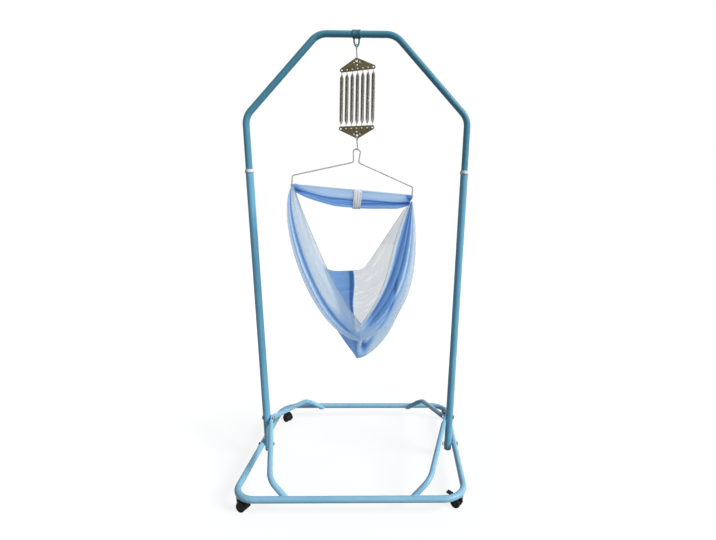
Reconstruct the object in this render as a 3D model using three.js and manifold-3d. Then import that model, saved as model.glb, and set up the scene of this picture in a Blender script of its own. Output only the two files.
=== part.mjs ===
// Hanging baby cradle: a tube stand on castors, a sprung plate pack, a wire hanger and a cloth sling.
// Millimetres, +Z up, +Y away from the viewer. The origin is on the floor, midway between the uprights.
import * as THREE from "three";
import { mergeVertices } from "three/addons/utils/BufferGeometryUtils.js";
import Module from "manifold-3d";

const wasm = await Module();
wasm.setup();

// Clearances and cutting allowances
const seatGap = 0.3;
const slipGap = 0.4;
const cutOverrun = 5;
const mergeDistance = 0.0003;

// Tubes
const archTubeRadius = 12.7;
const ringTubeRadius = 11.1;
const tubeWall = 1.4;
const braceTubeRadius = 9.5;
const braceTubeWall = 1.2;
const tubeSides = 10;
const braceSides = 8;
const boreSides = 6;
const bendSteps = 4;

// Uprights and arch
const footHalfWidth = 364.5;
const footHeight = 36;
const shoulderHalfWidth = 422;
const shoulderHeight = 1360;
const topBarHalfWidth = 144.6;
const topBarHeight = 1666;
const archBendRadius = 75;
const spliceHeight = 1154;
const spliceLength = 150;
const ferruleWall = 1.8;
const ferruleSkirt = 4;
const ferruleCollar = 9;
const ferruleSides = 14;
const plugLip = 3;
const plugDepth = 20;

// Base ring
const ringHeight = 56;
const ringHalfDepth = 345;
const ringCornerRadius = 78;
const ringJointOffset = 32;
const castorCornerDepth = 45;
const spigotCollar = 12;

// Braces
const braceBoltHeight = 169;
const braceElbowAcross = 273;
const braceElbowDepth = 306;
const braceElbowHeight = 100;
const braceFootAcross = 207;
const braceFootInset = 7;
const braceFootDrop = 5;
const braceBendRadius = 70;
const braceEyeThickness = 3.6;
const braceEyeHalfWidth = 11;
const braceEyeLength = 34;

// Bolts and nuts
const boltRadius = 4;
const boltHeadRadius = 8;
const boltHeadHeight = 3.6;
const boltDomeShare = 0.5;
const boltRimShare = 0.33;
const nutAcrossFlats = 13;
const nutHeight = 6.5;
const boltTail = 1.5;
const nutSides = 6;
const boltSides = 10;
const holeSides = 8;

// Castors
const castorTrail = 16;
const frontLeftCastorTurn = 245;
const frontRightCastorTurn = 55;
const rearLeftCastorTurn = -130;
const rearRightCastorTurn = -75;
const wheelRadius = 18;
const wheelWidth = 11;
const wheelSides = 18;
const wheelDish = 2.4;
const wheelHubRadius = 6;
const axleRadius = 2.5;
const webThickness = 7;
const fenderThickness = 2.4;
const fenderStartAngle = -12;
const fenderEndAngle = 128;
const fenderSteps = 5;
const stemRadius = 4;
const stemInsert = 14;
const stemFlangeRadius = 9.5;
const stemFlangeHeight = 2;
const bossRadius = 8;
const leverLength = 18;
const leverWidth = 18;
const leverThickness = 2.6;
const leverEarThickness = 2.4;
const leverEarAcross = 7;
const leverLugRadius = 3.4;
const leverPinRadius = 1.4;
const leverAngle = 40;

// Hook band on the top bar
const bandWidth = 30;
const bandWall = 2.8;
const bandLoopWireRadius = 3.2;
const bandLoopHalfWidth = 9.6;
const bandLoopWaistHalfWidth = 4.6;
const bandLoopDrop = 30;
const bandLoopBend = 4.2;

// S-hooks
const hookWireRadius = 2;
const hookBendRadius = 10;
const hookSides = 8;
const hookTipAngle = 15;
const upperHookHeight = 56.7;
const lowerHookHeight = 53;

// Spring plates
const plateThickness = 1.6;
const plateHolePitch = 20;
const plateHoleCount = 7;
const plateEndRadius = 8;
const plateApexRadius = 9;
const plateApexRise = 31;
const plateHookHoleRadius = 4.5;
const plateHookHoleRise = 29;
const plateEndHoleRadius = 3.4;
const plateRowHoleRadius = 2.4;
const plateSmallHoleRadius = 2;
const plateCornerSides = 18;
const plateHoleSides = 7;
const plateColumnRise = 14;
const plateSideHoleAcross = 11;
const plateSideHoleRise = 23;
const topPlateTilt = 7;
const bottomPlateTilt = 3;
const rowToRow = 219;

// Springs
const springWireRadius = 1;
const springRadius = 6;
const springCurls = 7;
const springSteps = 8;
const springSides = 5;
const springNeckRadius = 2.4;
const springHookReach = 4.4;
const springHookDrop = 13;
const springShank = 4;
const springTaperShare = 0.14;

// Hanger
const hangerWireRadius = 2.6;
const hangerSides = 7;
const hangerHalfSpan = 233;
const hangerLegLength = 36;
const hangerShoulderRise = 73;
const hangerNeckFootHalf = 9.5;
const hangerNeckHeight = 51;
const hangerNeckTopHalf = 15;
const hangerNeckBend = 12.5;
const hangerBend = 9;
const rodRadius = 2.2;
const rodOverhang = 6;
const hangerTilt = 4.6;
const cradleYaw = 14;

// Cloth
const clothThickness = 2.4;
const headerHeight = 66;
const headerHalfThickness = 8;
const headerTopCover = 3;
const headerEndMargin = 20;
const headerSteps = 12;
const headerSides = 10;
const strapWidth = 31;
const strapThickness = 1.4;
const strapAcross = 14;
const strapSteps = 3;
const slingDrop = 680;
const slingHalfDepth = 125;
const slingSteps = 26;
const slingRows = 14;
const slingGatherWidth = 24;
const slingGatherDepth = 12;
const slingFoldDepth = 6;
const slingFoldCount = 3;
const slingCalmShare = 1;
const slingCalmPower = 4;

// Sizes worked out from the driving dimensions
const degree = Math.PI / 180;
const clearOf = (radius, sides) => (radius + seatGap) / Math.cos(Math.PI / sides);
const uprightInnerRadius = archTubeRadius + slipGap;
const uprightRadius = uprightInnerRadius + tubeWall;
const lean = (shoulderHalfWidth - footHalfWidth) / (shoulderHeight - footHeight);
const leanAngle = Math.atan(lean);
const uprightAcross = (height) => footHalfWidth + lean * (height - footHeight);
const ringHalfWidth = uprightAcross(ringHeight) + uprightRadius + seatGap + ringTubeRadius;
const ringUnderside = ringHeight - ringTubeRadius;
const boltHoleRadius = clearOf(boltRadius, holeSides);
const stemRoomRadius = clearOf(stemRadius, holeSides);
const fenderInnerRadius = clearOf(wheelRadius / Math.cos(Math.PI / wheelSides), wheelSides);
const fenderOuterRadius = fenderInnerRadius + fenderThickness;
const castorDepth = ringHalfDepth - ringCornerRadius + castorCornerDepth;
const castorCornerAcross = Math.sqrt(ringCornerRadius ** 2 - castorCornerDepth ** 2);
const castorAcross = ringHalfWidth - ringCornerRadius + castorCornerAcross;
const bandInnerRadius = clearOf(archTubeRadius, ferruleSides);
const bandLoopBottom = topBarHeight - bandInnerRadius - bandWall - bandLoopDrop + bandLoopWireRadius;
const upperHookTop = bandLoopBottom + bandLoopWireRadius + seatGap + hookWireRadius;
const hookHoleFlat = plateHookHoleRadius * Math.cos(Math.PI / boltSides);
const hookSeatInHole = hookHoleFlat - slipGap - hookWireRadius;
const springSeatInHole = plateRowHoleRadius * Math.cos(Math.PI / plateHoleSides) - seatGap - springWireRadius;
const springSeatInEndHole = plateEndHoleRadius * Math.cos(Math.PI / boltSides) - seatGap - springWireRadius;
const upperHookBottom = upperHookTop - upperHookHeight;
const topHookHoleHeight = upperHookBottom - hookSeatInHole;
const topRowHeight = topHookHoleHeight - plateHookHoleRise;
const bottomRowHeight = topRowHeight - rowToRow;
const lowerHookTop = bottomRowHeight - plateHookHoleRise - hookSeatInHole;
const lowerHookBottom = lowerHookTop - lowerHookHeight;
const hangHeight = lowerHookBottom + hookWireRadius + seatGap + hangerWireRadius;
const rodDrop = hangerLegLength + hangerShoulderRise + hangerNeckHeight;

// Finishes
const paintBlue = new THREE.MeshStandardMaterial({ color: "#6fb4d6", roughness: 0.35, metalness: 0.1 });
const paintTeal = new THREE.MeshStandardMaterial({ color: "#3f7f9e", roughness: 0.35, metalness: 0.1 });
const whitePlastic = new THREE.MeshStandardMaterial({ color: "#eeeeea", roughness: 0.5, metalness: 0 });
const bluePlastic = new THREE.MeshStandardMaterial({ color: "#4f8fb4", roughness: 0.6, metalness: 0 });
const blackPlastic = new THREE.MeshStandardMaterial({ color: "#16161a", roughness: 0.55, metalness: 0 });
const zincSteel = new THREE.MeshStandardMaterial({ color: "#b9bcbe", roughness: 0.35, metalness: 0.9 });
const bronzePlate = new THREE.MeshStandardMaterial({ color: "#5a5238", roughness: 0.45, metalness: 0.8 });
const springSteel = new THREE.MeshStandardMaterial({ color: "#c9c6bb", roughness: 0.3, metalness: 0.9 });
const coatedWire = new THREE.MeshStandardMaterial({ color: "#c4c6c8", roughness: 0.4, metalness: 0.6 });
const skyCloth = new THREE.MeshStandardMaterial({ color: "#8fb7e8", roughness: 0.9, metalness: 0 });
const whiteCloth = new THREE.MeshStandardMaterial({ color: "#e8ebf2", roughness: 0.9, metalness: 0 });

// The signed volume of a closed triangle mesh, which is negative when its faces point inwards
function signedVolume(geometry) {
  const place = geometry.attributes.position;
  const corner = [0, 1, 2].map(() => new THREE.Vector3());
  let sum = 0;
  for (let i = 0; i < geometry.index.count; i += 3) {
    corner.forEach((c, k) => c.fromBufferAttribute(place, geometry.index.getX(i + k)));
    sum += corner[0].dot(corner[1].clone().cross(corner[2]));
  }
  return sum;
}

// One closed surface with merged corners and its faces pointing out
function closed(geometry) {
  const bare = geometry.clone();
  bare.deleteAttribute("normal");
  bare.deleteAttribute("uv");
  const merged = mergeVertices(bare, mergeDistance);
  if (signedVolume(merged) < 0) {
    const order = merged.index.array;
    for (let i = 0; i < order.length; i += 3) {
      [order[i], order[i + 1]] = [order[i + 1], order[i]];
    }
  }
  return merged;
}

// A geometry as a solid that can be joined and cut
function solid(geometry) {
  const body = closed(geometry);
  const vertProperties = new Float32Array(body.attributes.position.array);
  const triVerts = new Uint32Array(body.index.array);
  return new wasm.Manifold(new wasm.Mesh({ numProp: 3, vertProperties, triVerts }));
}

// A joined or cut solid back as a geometry
function geometryOf(body) {
  const mesh = body.getMesh();
  const geometry = new THREE.BufferGeometry();
  geometry.setAttribute("position", new THREE.BufferAttribute(new Float32Array(mesh.vertProperties), 3));
  geometry.setIndex(new THREE.BufferAttribute(new Uint32Array(mesh.triVerts), 1));
  return geometry;
}

// The first geometry with others joined to it and others cut from it
function carve(base, joins, cuts) {
  const joined = joins.reduce((body, next) => body.add(solid(next)), solid(base));
  return geometryOf(cuts.reduce((body, next) => body.subtract(solid(next)), joined));
}

// One named sub-part
function part(name, geometry, material) {
  const mesh = new THREE.Mesh(closed(geometry), material);
  mesh.name = name;
  return mesh;
}

// A regular ring of points, turned so that a flat lies at its lowest side when the count is even
function ringPoints(radius, sides) {
  const turn = Math.PI / sides;
  return Array.from({ length: sides }, (unused, i) => {
    const angle = turn + (2 * Math.PI * i) / sides;
    return new THREE.Vector2(radius * Math.cos(angle), radius * Math.sin(angle));
  });
}

// A curve through stations, evenly spaced in its parameter, so bends can be finer than straights
class StationPath extends THREE.Curve {
  constructor(stations) {
    super();
    this.stations = stations;
  }
  getPoint(share, target = new THREE.Vector3()) {
    const place = share * (this.stations.length - 1);
    const low = Math.min(Math.floor(place), this.stations.length - 2);
    return target.lerpVectors(this.stations[low], this.stations[low + 1], place - low);
  }
  getPointAt(share, target) {
    return this.getPoint(share, target);
  }
  getTangentAt(share, target = new THREE.Vector3()) {
    const last = this.stations.length - 1;
    const at = Math.round(share * last);
    const before = this.stations[Math.max(at - 1, 0)];
    const after = this.stations[Math.min(at + 1, last)];
    const into = this.stations[at].clone().sub(before).normalize();
    const out = after.clone().sub(this.stations[at]).normalize();
    return target.copy(into).add(out).normalize();
  }
}

// Stations along a polyline whose inner corners are rounded to a bend radius
function bentRoute(points, radius, steps = bendSteps) {
  const stations = [points[0].clone()];
  for (let i = 1; i < points.length - 1; i += 1) {
    const back = points[i - 1].clone().sub(points[i]).normalize();
    const ahead = points[i + 1].clone().sub(points[i]).normalize();
    const half = back.angleTo(ahead) / 2;
    const tangentLength = radius / Math.tan(half);
    const middle = back.clone().add(ahead).normalize();
    const centre = points[i].clone().addScaledVector(middle, radius / Math.sin(half));
    const start = points[i].clone().addScaledVector(back, tangentLength).sub(centre);
    const end = points[i].clone().addScaledVector(ahead, tangentLength).sub(centre);
    const sweep = start.angleTo(end);
    for (let k = 0; k <= steps; k += 1) {
      const share = k / steps;
      const near = Math.sin((1 - share) * sweep) / Math.sin(sweep);
      const far = Math.sin(share * sweep) / Math.sin(sweep);
      const spoke = start.clone().multiplyScalar(near).addScaledVector(end, far);
      stations.push(centre.clone().add(spoke));
    }
  }
  stations.push(points[points.length - 1].clone());
  return stations;
}

// A round rod or, with a bore, a tube along stations
function tubeAlong(stations, radius, sides, boreRadius = 0, insideSides = sides) {
  const section = new THREE.Shape(ringPoints(radius, sides));
  if (boreRadius > 0) {
    section.holes.push(new THREE.Path(ringPoints(boreRadius, insideSides).reverse()));
  }
  const settings = { steps: stations.length - 1, extrudePath: new StationPath(stations) };
  return new THREE.ExtrudeGeometry(section, settings);
}

// A straight round rod or tube between two points
function straightTube(from, to, radius, sides, boreRadius = 0) {
  return tubeAlong([from, to], radius, sides, boreRadius);
}

// A turned piece about the Z axis from a closed profile of radius and height pairs
function turned(profile, sides) {
  const points = profile.map(([radius, height]) => new THREE.Vector2(radius, height));
  const geometry = new THREE.LatheGeometry(points, sides);
  geometry.rotateX(Math.PI / 2);
  return geometry;
}

// A closed surface through rings of equal count, capped at both ends, or open through an inner set
function lofted(outerRings, innerRings = null) {
  const count = outerRings[0].length;
  const skins = innerRings ? [outerRings, innerRings] : [outerRings];
  const places = skins.flat(2).flatMap((p) => [p.x, p.y, p.z]);
  const skinSize = outerRings.length * count;
  const order = [];
  const quad = (a, b, c, d) => order.push(a, b, c, a, c, d);
  skins.forEach((rings, skin) => {
    rings.slice(1).forEach((unused, row) => {
      for (let i = 0; i < count; i += 1) {
        const next = (i + 1) % count;
        const low = skin * skinSize + row * count;
        const corners = [low + i, low + next, low + count + next, low + count + i];
        quad(...(skin ? corners.reverse() : corners));
      }
    });
  });
  [0, outerRings.length - 1].forEach((row, end) => {
    for (let i = 0; i < count; i += 1) {
      const next = (i + 1) % count;
      const low = row * count;
      if (innerRings) {
        const corners = [low + next, low + i, skinSize + low + i, skinSize + low + next];
        quad(...(end ? corners.reverse() : corners));
      } else if (i > 0 && i < count - 1) {
        const fan = [low, low + next, low + i];
        order.push(...(end ? fan.reverse() : fan));
      }
    }
  });
  const geometry = new THREE.BufferGeometry();
  geometry.setAttribute("position", new THREE.Float32BufferAttribute(places, 3));
  geometry.setIndex(order);
  return geometry;
}

const at = (x, y, z) => new THREE.Vector3(x, y, z);
const sideName = (side) => (side < 0 ? "left" : "right");
const endName = (end) => (end < 0 ? "front" : "rear");

// The arch: two legs, two sloping shoulders and the level top bar, bent from one tube
function archTube() {
  const legFoot = spliceHeight - spliceLength;
  const half = [
    at(uprightAcross(legFoot), 0, legFoot),
    at(shoulderHalfWidth, 0, shoulderHeight),
    at(topBarHalfWidth, 0, topBarHeight),
  ];
  const mirrored = half.map((p) => at(-p.x, p.y, p.z));
  const route = bentRoute([...mirrored, ...half.reverse()], archBendRadius);
  const tube = tubeAlong(route, archTubeRadius, tubeSides, archTubeRadius - tubeWall, boreSides);
  return part("arch_tube", tube, paintTeal);
}

// A rod across an upright at one height, used as a bolt hole
function crossHole(side, height, from, to, radius) {
  const inner = at(side * from, 0, height);
  const outer = at(side * to, 0, height);
  return straightTube(inner, outer, radius, holeSides);
}

// A lower upright: a straight tube that takes the arch leg at its top and two bolts near its foot
function upright(side) {
  const foot = at(side * footHalfWidth, 0, footHeight);
  const top = at(side * uprightAcross(spliceHeight), 0, spliceHeight);
  const tube = straightTube(foot, top, uprightRadius, tubeSides, uprightInnerRadius);
  const reach = uprightRadius + cutOverrun;
  const holes = [braceBoltHeight, ringHeight].map((height) => {
    const centre = uprightAcross(height);
    return crossHole(side, height, centre - reach, centre + reach, boltHoleRadius);
  });
  return part(`${sideName(side)}_upright`, carve(tube, [], holes), paintBlue);
}

// The stepped collar that finishes the splice between upright and arch leg
function ferrule(side) {
  const skirtBore = clearOf(uprightRadius, ferruleSides);
  const collarBore = clearOf(archTubeRadius, ferruleSides);
  const profile = [
    [skirtBore, -ferruleSkirt],
    [skirtBore + ferruleWall, -ferruleSkirt],
    [skirtBore + ferruleWall, seatGap + ferruleWall],
    [collarBore + ferruleWall, ferruleCollar],
    [collarBore, ferruleCollar],
    [collarBore, seatGap],
    [skirtBore, seatGap],
    [skirtBore, -ferruleSkirt],
  ];
  const mesh = part(`${sideName(side)}_ferrule`, turned(profile, ferruleSides), whitePlastic);
  mesh.position.set(side * uprightAcross(spliceHeight), 0, spliceHeight);
  mesh.rotation.y = side * leanAngle;
  return mesh;
}

// The plug that closes an upright's foot, drilled through for the base bolt
function footPlug(side) {
  const shaft = uprightInnerRadius * Math.cos(Math.PI / tubeSides) - seatGap;
  const profile = [
    [0, -plugLip],
    [shaft, -plugLip],
    [uprightRadius, -plugLip / 2],
    [uprightRadius, -seatGap],
    [shaft, -seatGap],
    [shaft, plugDepth - boltHoleRadius - seatGap],
    [0, plugDepth - boltHoleRadius - seatGap],
  ];
  const mesh = part(`${sideName(side)}_foot_plug`, turned(profile, tubeSides), bluePlastic);
  mesh.position.set(side * footHalfWidth, 0, footHeight);
  mesh.rotation.y = side * leanAngle;
  return mesh;
}

// The holes that one end of the base ring takes for its two castor stems
function stemHoles(end) {
  return [-1, 1].map((side) => {
    const x = side * castorAcross;
    const y = end * castorDepth;
    const low = at(x, y, ringUnderside - cutOverrun);
    return straightTube(low, at(x, y, ringHeight), stemRoomRadius, holeSides);
  });
}

// The holes that the base bolts take through both sides of the ring
function baseBoltHoles() {
  const reach = ringTubeRadius + cutOverrun;
  return [-1, 1].map((side) =>
    crossHole(side, ringHeight, ringHalfWidth - reach, ringHalfWidth + reach, boltHoleRadius),
  );
}

// One U of the base ring, from its free ends round both corners
function ringRoute(end, freeY) {
  const corners = [
    at(-ringHalfWidth, freeY, ringHeight),
    at(-ringHalfWidth, end * ringHalfDepth, ringHeight),
    at(ringHalfWidth, end * ringHalfDepth, ringHeight),
    at(ringHalfWidth, freeY, ringHeight),
  ];
  return bentRoute(corners, ringCornerRadius);
}

// The front half of the base, whose ends run past the uprights to the joint
function frontBase() {
  const route = ringRoute(-1, ringJointOffset);
  const tube = tubeAlong(route, ringTubeRadius, tubeSides, ringTubeRadius - tubeWall);
  return part("front_base_tube", carve(tube, [], [...stemHoles(-1), ...baseBoltHoles()]), paintBlue);
}

// The rear half of the base, whose necked spigots slide into the front half and share its bolts
function rearBase() {
  const jointY = ringJointOffset + seatGap;
  const route = ringRoute(1, jointY);
  const tube = tubeAlong(route, ringTubeRadius, tubeSides, ringTubeRadius - tubeWall, boreSides);
  const spigotRadius = ringTubeRadius - tubeWall - slipGap;
  const bore = spigotRadius - tubeWall;
  const spigots = [-1, 1].flatMap((side) => {
    const x = side * ringHalfWidth;
    const collarEnd = at(x, jointY + spigotCollar, ringHeight);
    const tip = at(x, -ringJointOffset, ringHeight);
    const neck = straightTube(collarEnd, tip, spigotRadius, tubeSides, bore);
    const shoulder = at(x, jointY, ringHeight);
    const collarRadius = ringTubeRadius - tubeWall / 2;
    return [neck, straightTube(collarEnd, shoulder, collarRadius, tubeSides, bore)];
  });
  return part("rear_base_tube", carve(tube, spigots, [...stemHoles(1), ...baseBoltHoles()]), paintBlue);
}

// A flattened eye's place across: front eyes lie against the upright, rear eyes on the front ones
function eyeAcross(end) {
  const nearest = uprightAcross(braceBoltHeight - braceEyeHalfWidth) - uprightRadius;
  const flush = nearest - seatGap - braceEyeThickness / 2;
  return end < 0 ? flush : flush - braceEyeThickness - seatGap;
}

// A flat eye with a round end, standing in the plane of the bolt's head
function braceEye(side, end) {
  const outline = new THREE.Shape();
  outline.moveTo(0, -braceEyeHalfWidth);
  outline.lineTo(braceEyeLength, -braceEyeHalfWidth);
  outline.lineTo(braceEyeLength, braceEyeHalfWidth);
  outline.lineTo(0, braceEyeHalfWidth);
  outline.absarc(0, 0, braceEyeHalfWidth, Math.PI / 2, (3 * Math.PI) / 2, false);
  outline.holes.push(new THREE.Path(ringPoints(boltHoleRadius, holeSides).reverse()));
  const settings = { depth: braceEyeThickness, bevelEnabled: false, curveSegments: bendSteps };
  const plate = new THREE.ExtrudeGeometry(outline, settings);
  plate.translate(0, 0, -braceEyeThickness / 2);
  const x = eyeAcross(end);
  const fall = Math.atan2(braceBoltHeight - braceElbowHeight, braceElbowDepth);
  plate.rotateZ(-fall);
  plate.rotateX(Math.PI / 2);
  plate.rotateZ((end * Math.PI) / 2);
  plate.translate(side * x, 0, braceBoltHeight);
  return plate;
}

// A bent brace from the bolt on the upright to the inner side of a base bar
function brace(side, end) {
  const eye = at(side * eyeAcross(end), 0, braceBoltHeight);
  const elbow = at(side * braceElbowAcross, end * braceElbowDepth, braceElbowHeight);
  const footDepth = ringHalfDepth - braceFootInset;
  const foot = at(side * braceFootAcross, end * footDepth, ringHeight - braceFootDrop);
  const away = elbow.clone().sub(eye).normalize();
  const start = eye.clone().addScaledVector(away, braceEyeLength - braceEyeHalfWidth);
  const route = bentRoute([start, elbow, foot], braceBendRadius);
  const tube = tubeAlong(route, braceTubeRadius, braceSides, braceTubeRadius - braceTubeWall, boreSides);
  const barHalf = ringHalfWidth - ringCornerRadius;
  const barFrom = at(-barHalf, end * ringHalfDepth, ringHeight);
  const barTo = at(barHalf, end * ringHalfDepth, ringHeight);
  const saddle = straightTube(barFrom, barTo, ringTubeRadius + seatGap, tubeSides);
  const shape = carve(tube, [braceEye(side, end)], [saddle]);
  return part(`${endName(end)}_${sideName(side)}_brace`, shape, paintBlue);
}

// A domed bolt along X with its head on the outer side
function bolt(name, side, height, headFace, tailEnd) {
  const length = headFace - tailEnd;
  const profile = [
    [0, -boltHeadHeight],
    [boltHeadRadius * boltDomeShare, -boltHeadHeight],
    [boltHeadRadius, -boltHeadHeight * boltRimShare],
    [boltHeadRadius, 0],
    [boltRadius, 0],
    [boltRadius, length],
    [0, length],
  ];
  const mesh = part(name, turned(profile, boltSides), zincSteel);
  mesh.position.set(side * headFace, 0, height);
  mesh.rotation.y = (-side * Math.PI) / 2;
  return mesh;
}

// A hexagon nut along X on a bolt's inner end
function nut(name, side, height, face) {
  const corner = nutAcrossFlats / 2 / Math.cos(Math.PI / nutSides);
  const from = at(side * (face - nutHeight), 0, height);
  const to = at(side * face, 0, height);
  const block = straightTube(from, to, corner, nutSides);
  const hole = crossHole(side, height, face - nutHeight - cutOverrun, face + cutOverrun, boltHoleRadius);
  return part(name, carve(block, [], [hole]), zincSteel);
}

// The two bolts of one side: one holds both brace eyes, the other clamps the base to the upright's foot
function sideFasteners(side) {
  const label = sideName(side);
  const eyeFace = eyeAcross(1) - braceEyeThickness / 2 - seatGap;
  const braceHeadFace = uprightAcross(braceBoltHeight) + uprightRadius + slipGap;
  const footFace = uprightAcross(ringHeight) - uprightRadius - slipGap;
  const ringHeadFace = ringHalfWidth + ringTubeRadius + seatGap;
  return [
    bolt(`${label}_brace_bolt`, side, braceBoltHeight, braceHeadFace, eyeFace - nutHeight - boltTail),
    nut(`${label}_brace_nut`, side, braceBoltHeight, eyeFace),
    bolt(`${label}_base_bolt`, side, ringHeight, ringHeadFace, footFace - nutHeight - boltTail),
    nut(`${label}_base_nut`, side, ringHeight, footFace),
  ];
}

// Half the room that the two wheels leave for the castor's web
const wheelInset = webThickness / 2 + seatGap;
const hoodTop = ringUnderside - seatGap - stemFlangeHeight - seatGap;

// A castor's steel stem: it plugs into the ring, carries its flange under the tube and ends in the hood
function castorStem(label) {
  const flangeTop = ringUnderside - seatGap;
  const profile = [
    [0, hoodTop - stemInsert / 2],
    [stemRadius, hoodTop - stemInsert / 2],
    [stemRadius, flangeTop - stemFlangeHeight],
    [stemFlangeRadius, flangeTop - stemFlangeHeight],
    [stemFlangeRadius, flangeTop],
    [stemRadius, flangeTop],
    [stemRadius, flangeTop + stemInsert],
    [0, flangeTop + stemInsert],
  ];
  return part(`${label}_stem`, turned(profile, boltSides), zincSteel);
}

// A flat piece cut from a side outline of trail and height, centred on the castor's middle plane
function castorSlab(outline, thickness) {
  const settings = { depth: thickness, bevelEnabled: false, curveSegments: fenderSteps };
  const slab = new THREE.ExtrudeGeometry(outline, settings);
  slab.translate(0, 0, -thickness / 2);
  slab.rotateX(Math.PI / 2);
  slab.rotateZ(Math.PI / 2);
  return slab;
}

// The fender's side outline: a ring sector round the axle, from above the stem to behind the wheel
function fenderOutline(innerRadius, outerRadius) {
  const outline = new THREE.Shape();
  const from = fenderStartAngle * degree;
  const to = fenderEndAngle * degree;
  outline.absarc(castorTrail, wheelRadius, outerRadius, from, to, false);
  outline.absarc(castorTrail, wheelRadius, innerRadius, to, from, true);
  return outline;
}

// The castor's moulded hood: a middle web on the axle, a fender over both wheels and the boss on the stem
function castorHood(label, braked) {
  const inner = fenderInnerRadius;
  const outer = fenderOuterRadius;
  const fullWidth = 2 * (wheelInset + wheelWidth);
  const web = castorSlab(fenderOutline(0, outer - fenderThickness / 2), webThickness);
  const hub = new THREE.Shape();
  hub.absarc(castorTrail, wheelRadius, wheelHubRadius, 0, 2 * Math.PI, false);
  const fender = castorSlab(fenderOutline(inner, outer), fullWidth);
  const boss = straightTube(at(0, 0, wheelRadius + inner), at(0, 0, hoodTop), bossRadius, boltSides);
  const post = new THREE.Shape();
  post.moveTo(-bossRadius, wheelRadius + wheelHubRadius);
  post.lineTo(castorTrail, wheelRadius + wheelHubRadius);
  post.lineTo(bossRadius / 2, hoodTop - seatGap);
  post.lineTo(-bossRadius / 2, hoodTop - seatGap);
  const joins = [fender, boss, castorSlab(hub, webThickness), castorSlab(post, webThickness)];
  if (braked) {
    joins.push(leverRod(leverEarAcross - leverEarThickness / 2 - seatGap, leverLugRadius));
  }
  const stemRoom = straightTube(
    at(0, 0, hoodTop - stemInsert / 2 - slipGap),
    at(0, 0, hoodTop + cutOverrun),
    stemRoomRadius,
    holeSides,
  );
  const reach = webThickness;
  const axleRoom = straightTube(
    at(-reach, castorTrail, wheelRadius),
    at(reach, castorTrail, wheelRadius),
    axleRadius + slipGap,
    holeSides,
  );
  const pinRoom = braked ? [leverRod(leverWidth, leverPinRadius + slipGap)] : [];
  return part(`${label}_hood`, carve(web, joins, [stemRoom, axleRoom, ...pinRoom]), blackPlastic);
}

// The lever's pivot stands just off the fender's back slope
function leverPivot() {
  const reach = fenderOuterRadius + leverLugRadius - seatGap;
  const angle = leverAngle * degree;
  return at(0, castorTrail + reach * Math.cos(angle), wheelRadius + reach * Math.sin(angle));
}

// A rod along the lever's pivot axis, used for the lug, the pin and the pin's hole
function leverRod(half, radius) {
  const pivot = leverPivot();
  return straightTube(at(-half, pivot.y, pivot.z), at(half, pivot.y, pivot.z), radius, hookSides);
}

// A brake lever: a pedal behind the fender with two ears and the pin that runs through the hood's lug
function brakeLever(label) {
  const pivot = leverPivot();
  const earRadius = leverLugRadius - seatGap - slipGap;
  const rise = leverLugRadius + slipGap;
  const near = pivot.y - earRadius / 2;
  const far = pivot.y + leverLength;
  const pedal = new THREE.Shape();
  pedal.moveTo(near, pivot.z + rise);
  pedal.lineTo(far, pivot.z + rise + leverThickness);
  pedal.lineTo(far, pivot.z + rise + 2 * leverThickness);
  pedal.lineTo(near, pivot.z + rise + leverThickness);
  const ear = new THREE.Shape();
  ear.absarc(pivot.y, pivot.z, earRadius, Math.PI, 2 * Math.PI, false);
  ear.lineTo(pivot.y + earRadius, pivot.z + rise + leverThickness / 2);
  ear.lineTo(near, pivot.z + rise + leverThickness / 2);
  const ears = [-1, 1].map((side) => {
    const slab = castorSlab(ear, leverEarThickness);
    slab.translate(side * leverEarAcross, 0, 0);
    return slab;
  });
  const pin = leverRod(leverEarAcross, leverPinRadius);
  return part(`${label}_brake_lever`, carve(castorSlab(pedal, leverWidth), [...ears, pin], []), blackPlastic);
}

// A castor wheel: the inner one carries the axle pin that the outer one is pressed on
function castorWheel(label, side) {
  const tread = wheelRadius / Math.cos(Math.PI / wheelSides);
  const face = [
    [tread, 0],
    [tread, wheelWidth - wheelDish],
    [tread - wheelDish, wheelWidth],
    [wheelHubRadius, wheelWidth - wheelDish],
  ];
  const hub = wheelWidth - wheelDish / 2;
  const pinEnd = -2 * wheelInset - wheelWidth / 2;
  const carried = [[0, hub], [0, pinEnd], [axleRadius, pinEnd]];
  const bore = axleRadius + slipGap;
  const blind = wheelWidth / 2 + slipGap;
  const inner = [...carried, [axleRadius, 0], ...face, [0, hub]];
  const outer = [[bore, 0], ...face, [0, hub], [0, blind], [bore, blind], [bore, 0]];
  const which = side < 0 ? "inner" : "outer";
  const mesh = part(`${label}_wheel_${which}`, turned(side < 0 ? inner : outer, wheelSides), blackPlastic);
  mesh.position.set(side * wheelInset, castorTrail, wheelRadius);
  mesh.rotation.set(0, (side * Math.PI) / 2, 0);
  return mesh;
}

// The way a castor stands at rest, as a turn about its stem from trailing to the rear
function castorTurn(side, end) {
  const front = side < 0 ? frontLeftCastorTurn : frontRightCastorTurn;
  const rear = side < 0 ? rearLeftCastorTurn : rearRightCastorTurn;
  return (end < 0 ? front : rear) * degree;
}

// A whole castor, standing on the floor below its stem
function castor(side, end) {
  const label = `${endName(end)}_${sideName(side)}_castor`;
  const group = new THREE.Group();
  group.position.set(side * castorAcross, end * castorDepth, 0);
  group.rotation.z = castorTurn(side, end);
  const braked = end < 0;
  group.add(castorStem(label), castorHood(label, braked), castorWheel(label, -1), castorWheel(label, 1));
  if (braked) {
    group.add(brakeLever(label));
  }
  return group;
}

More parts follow.
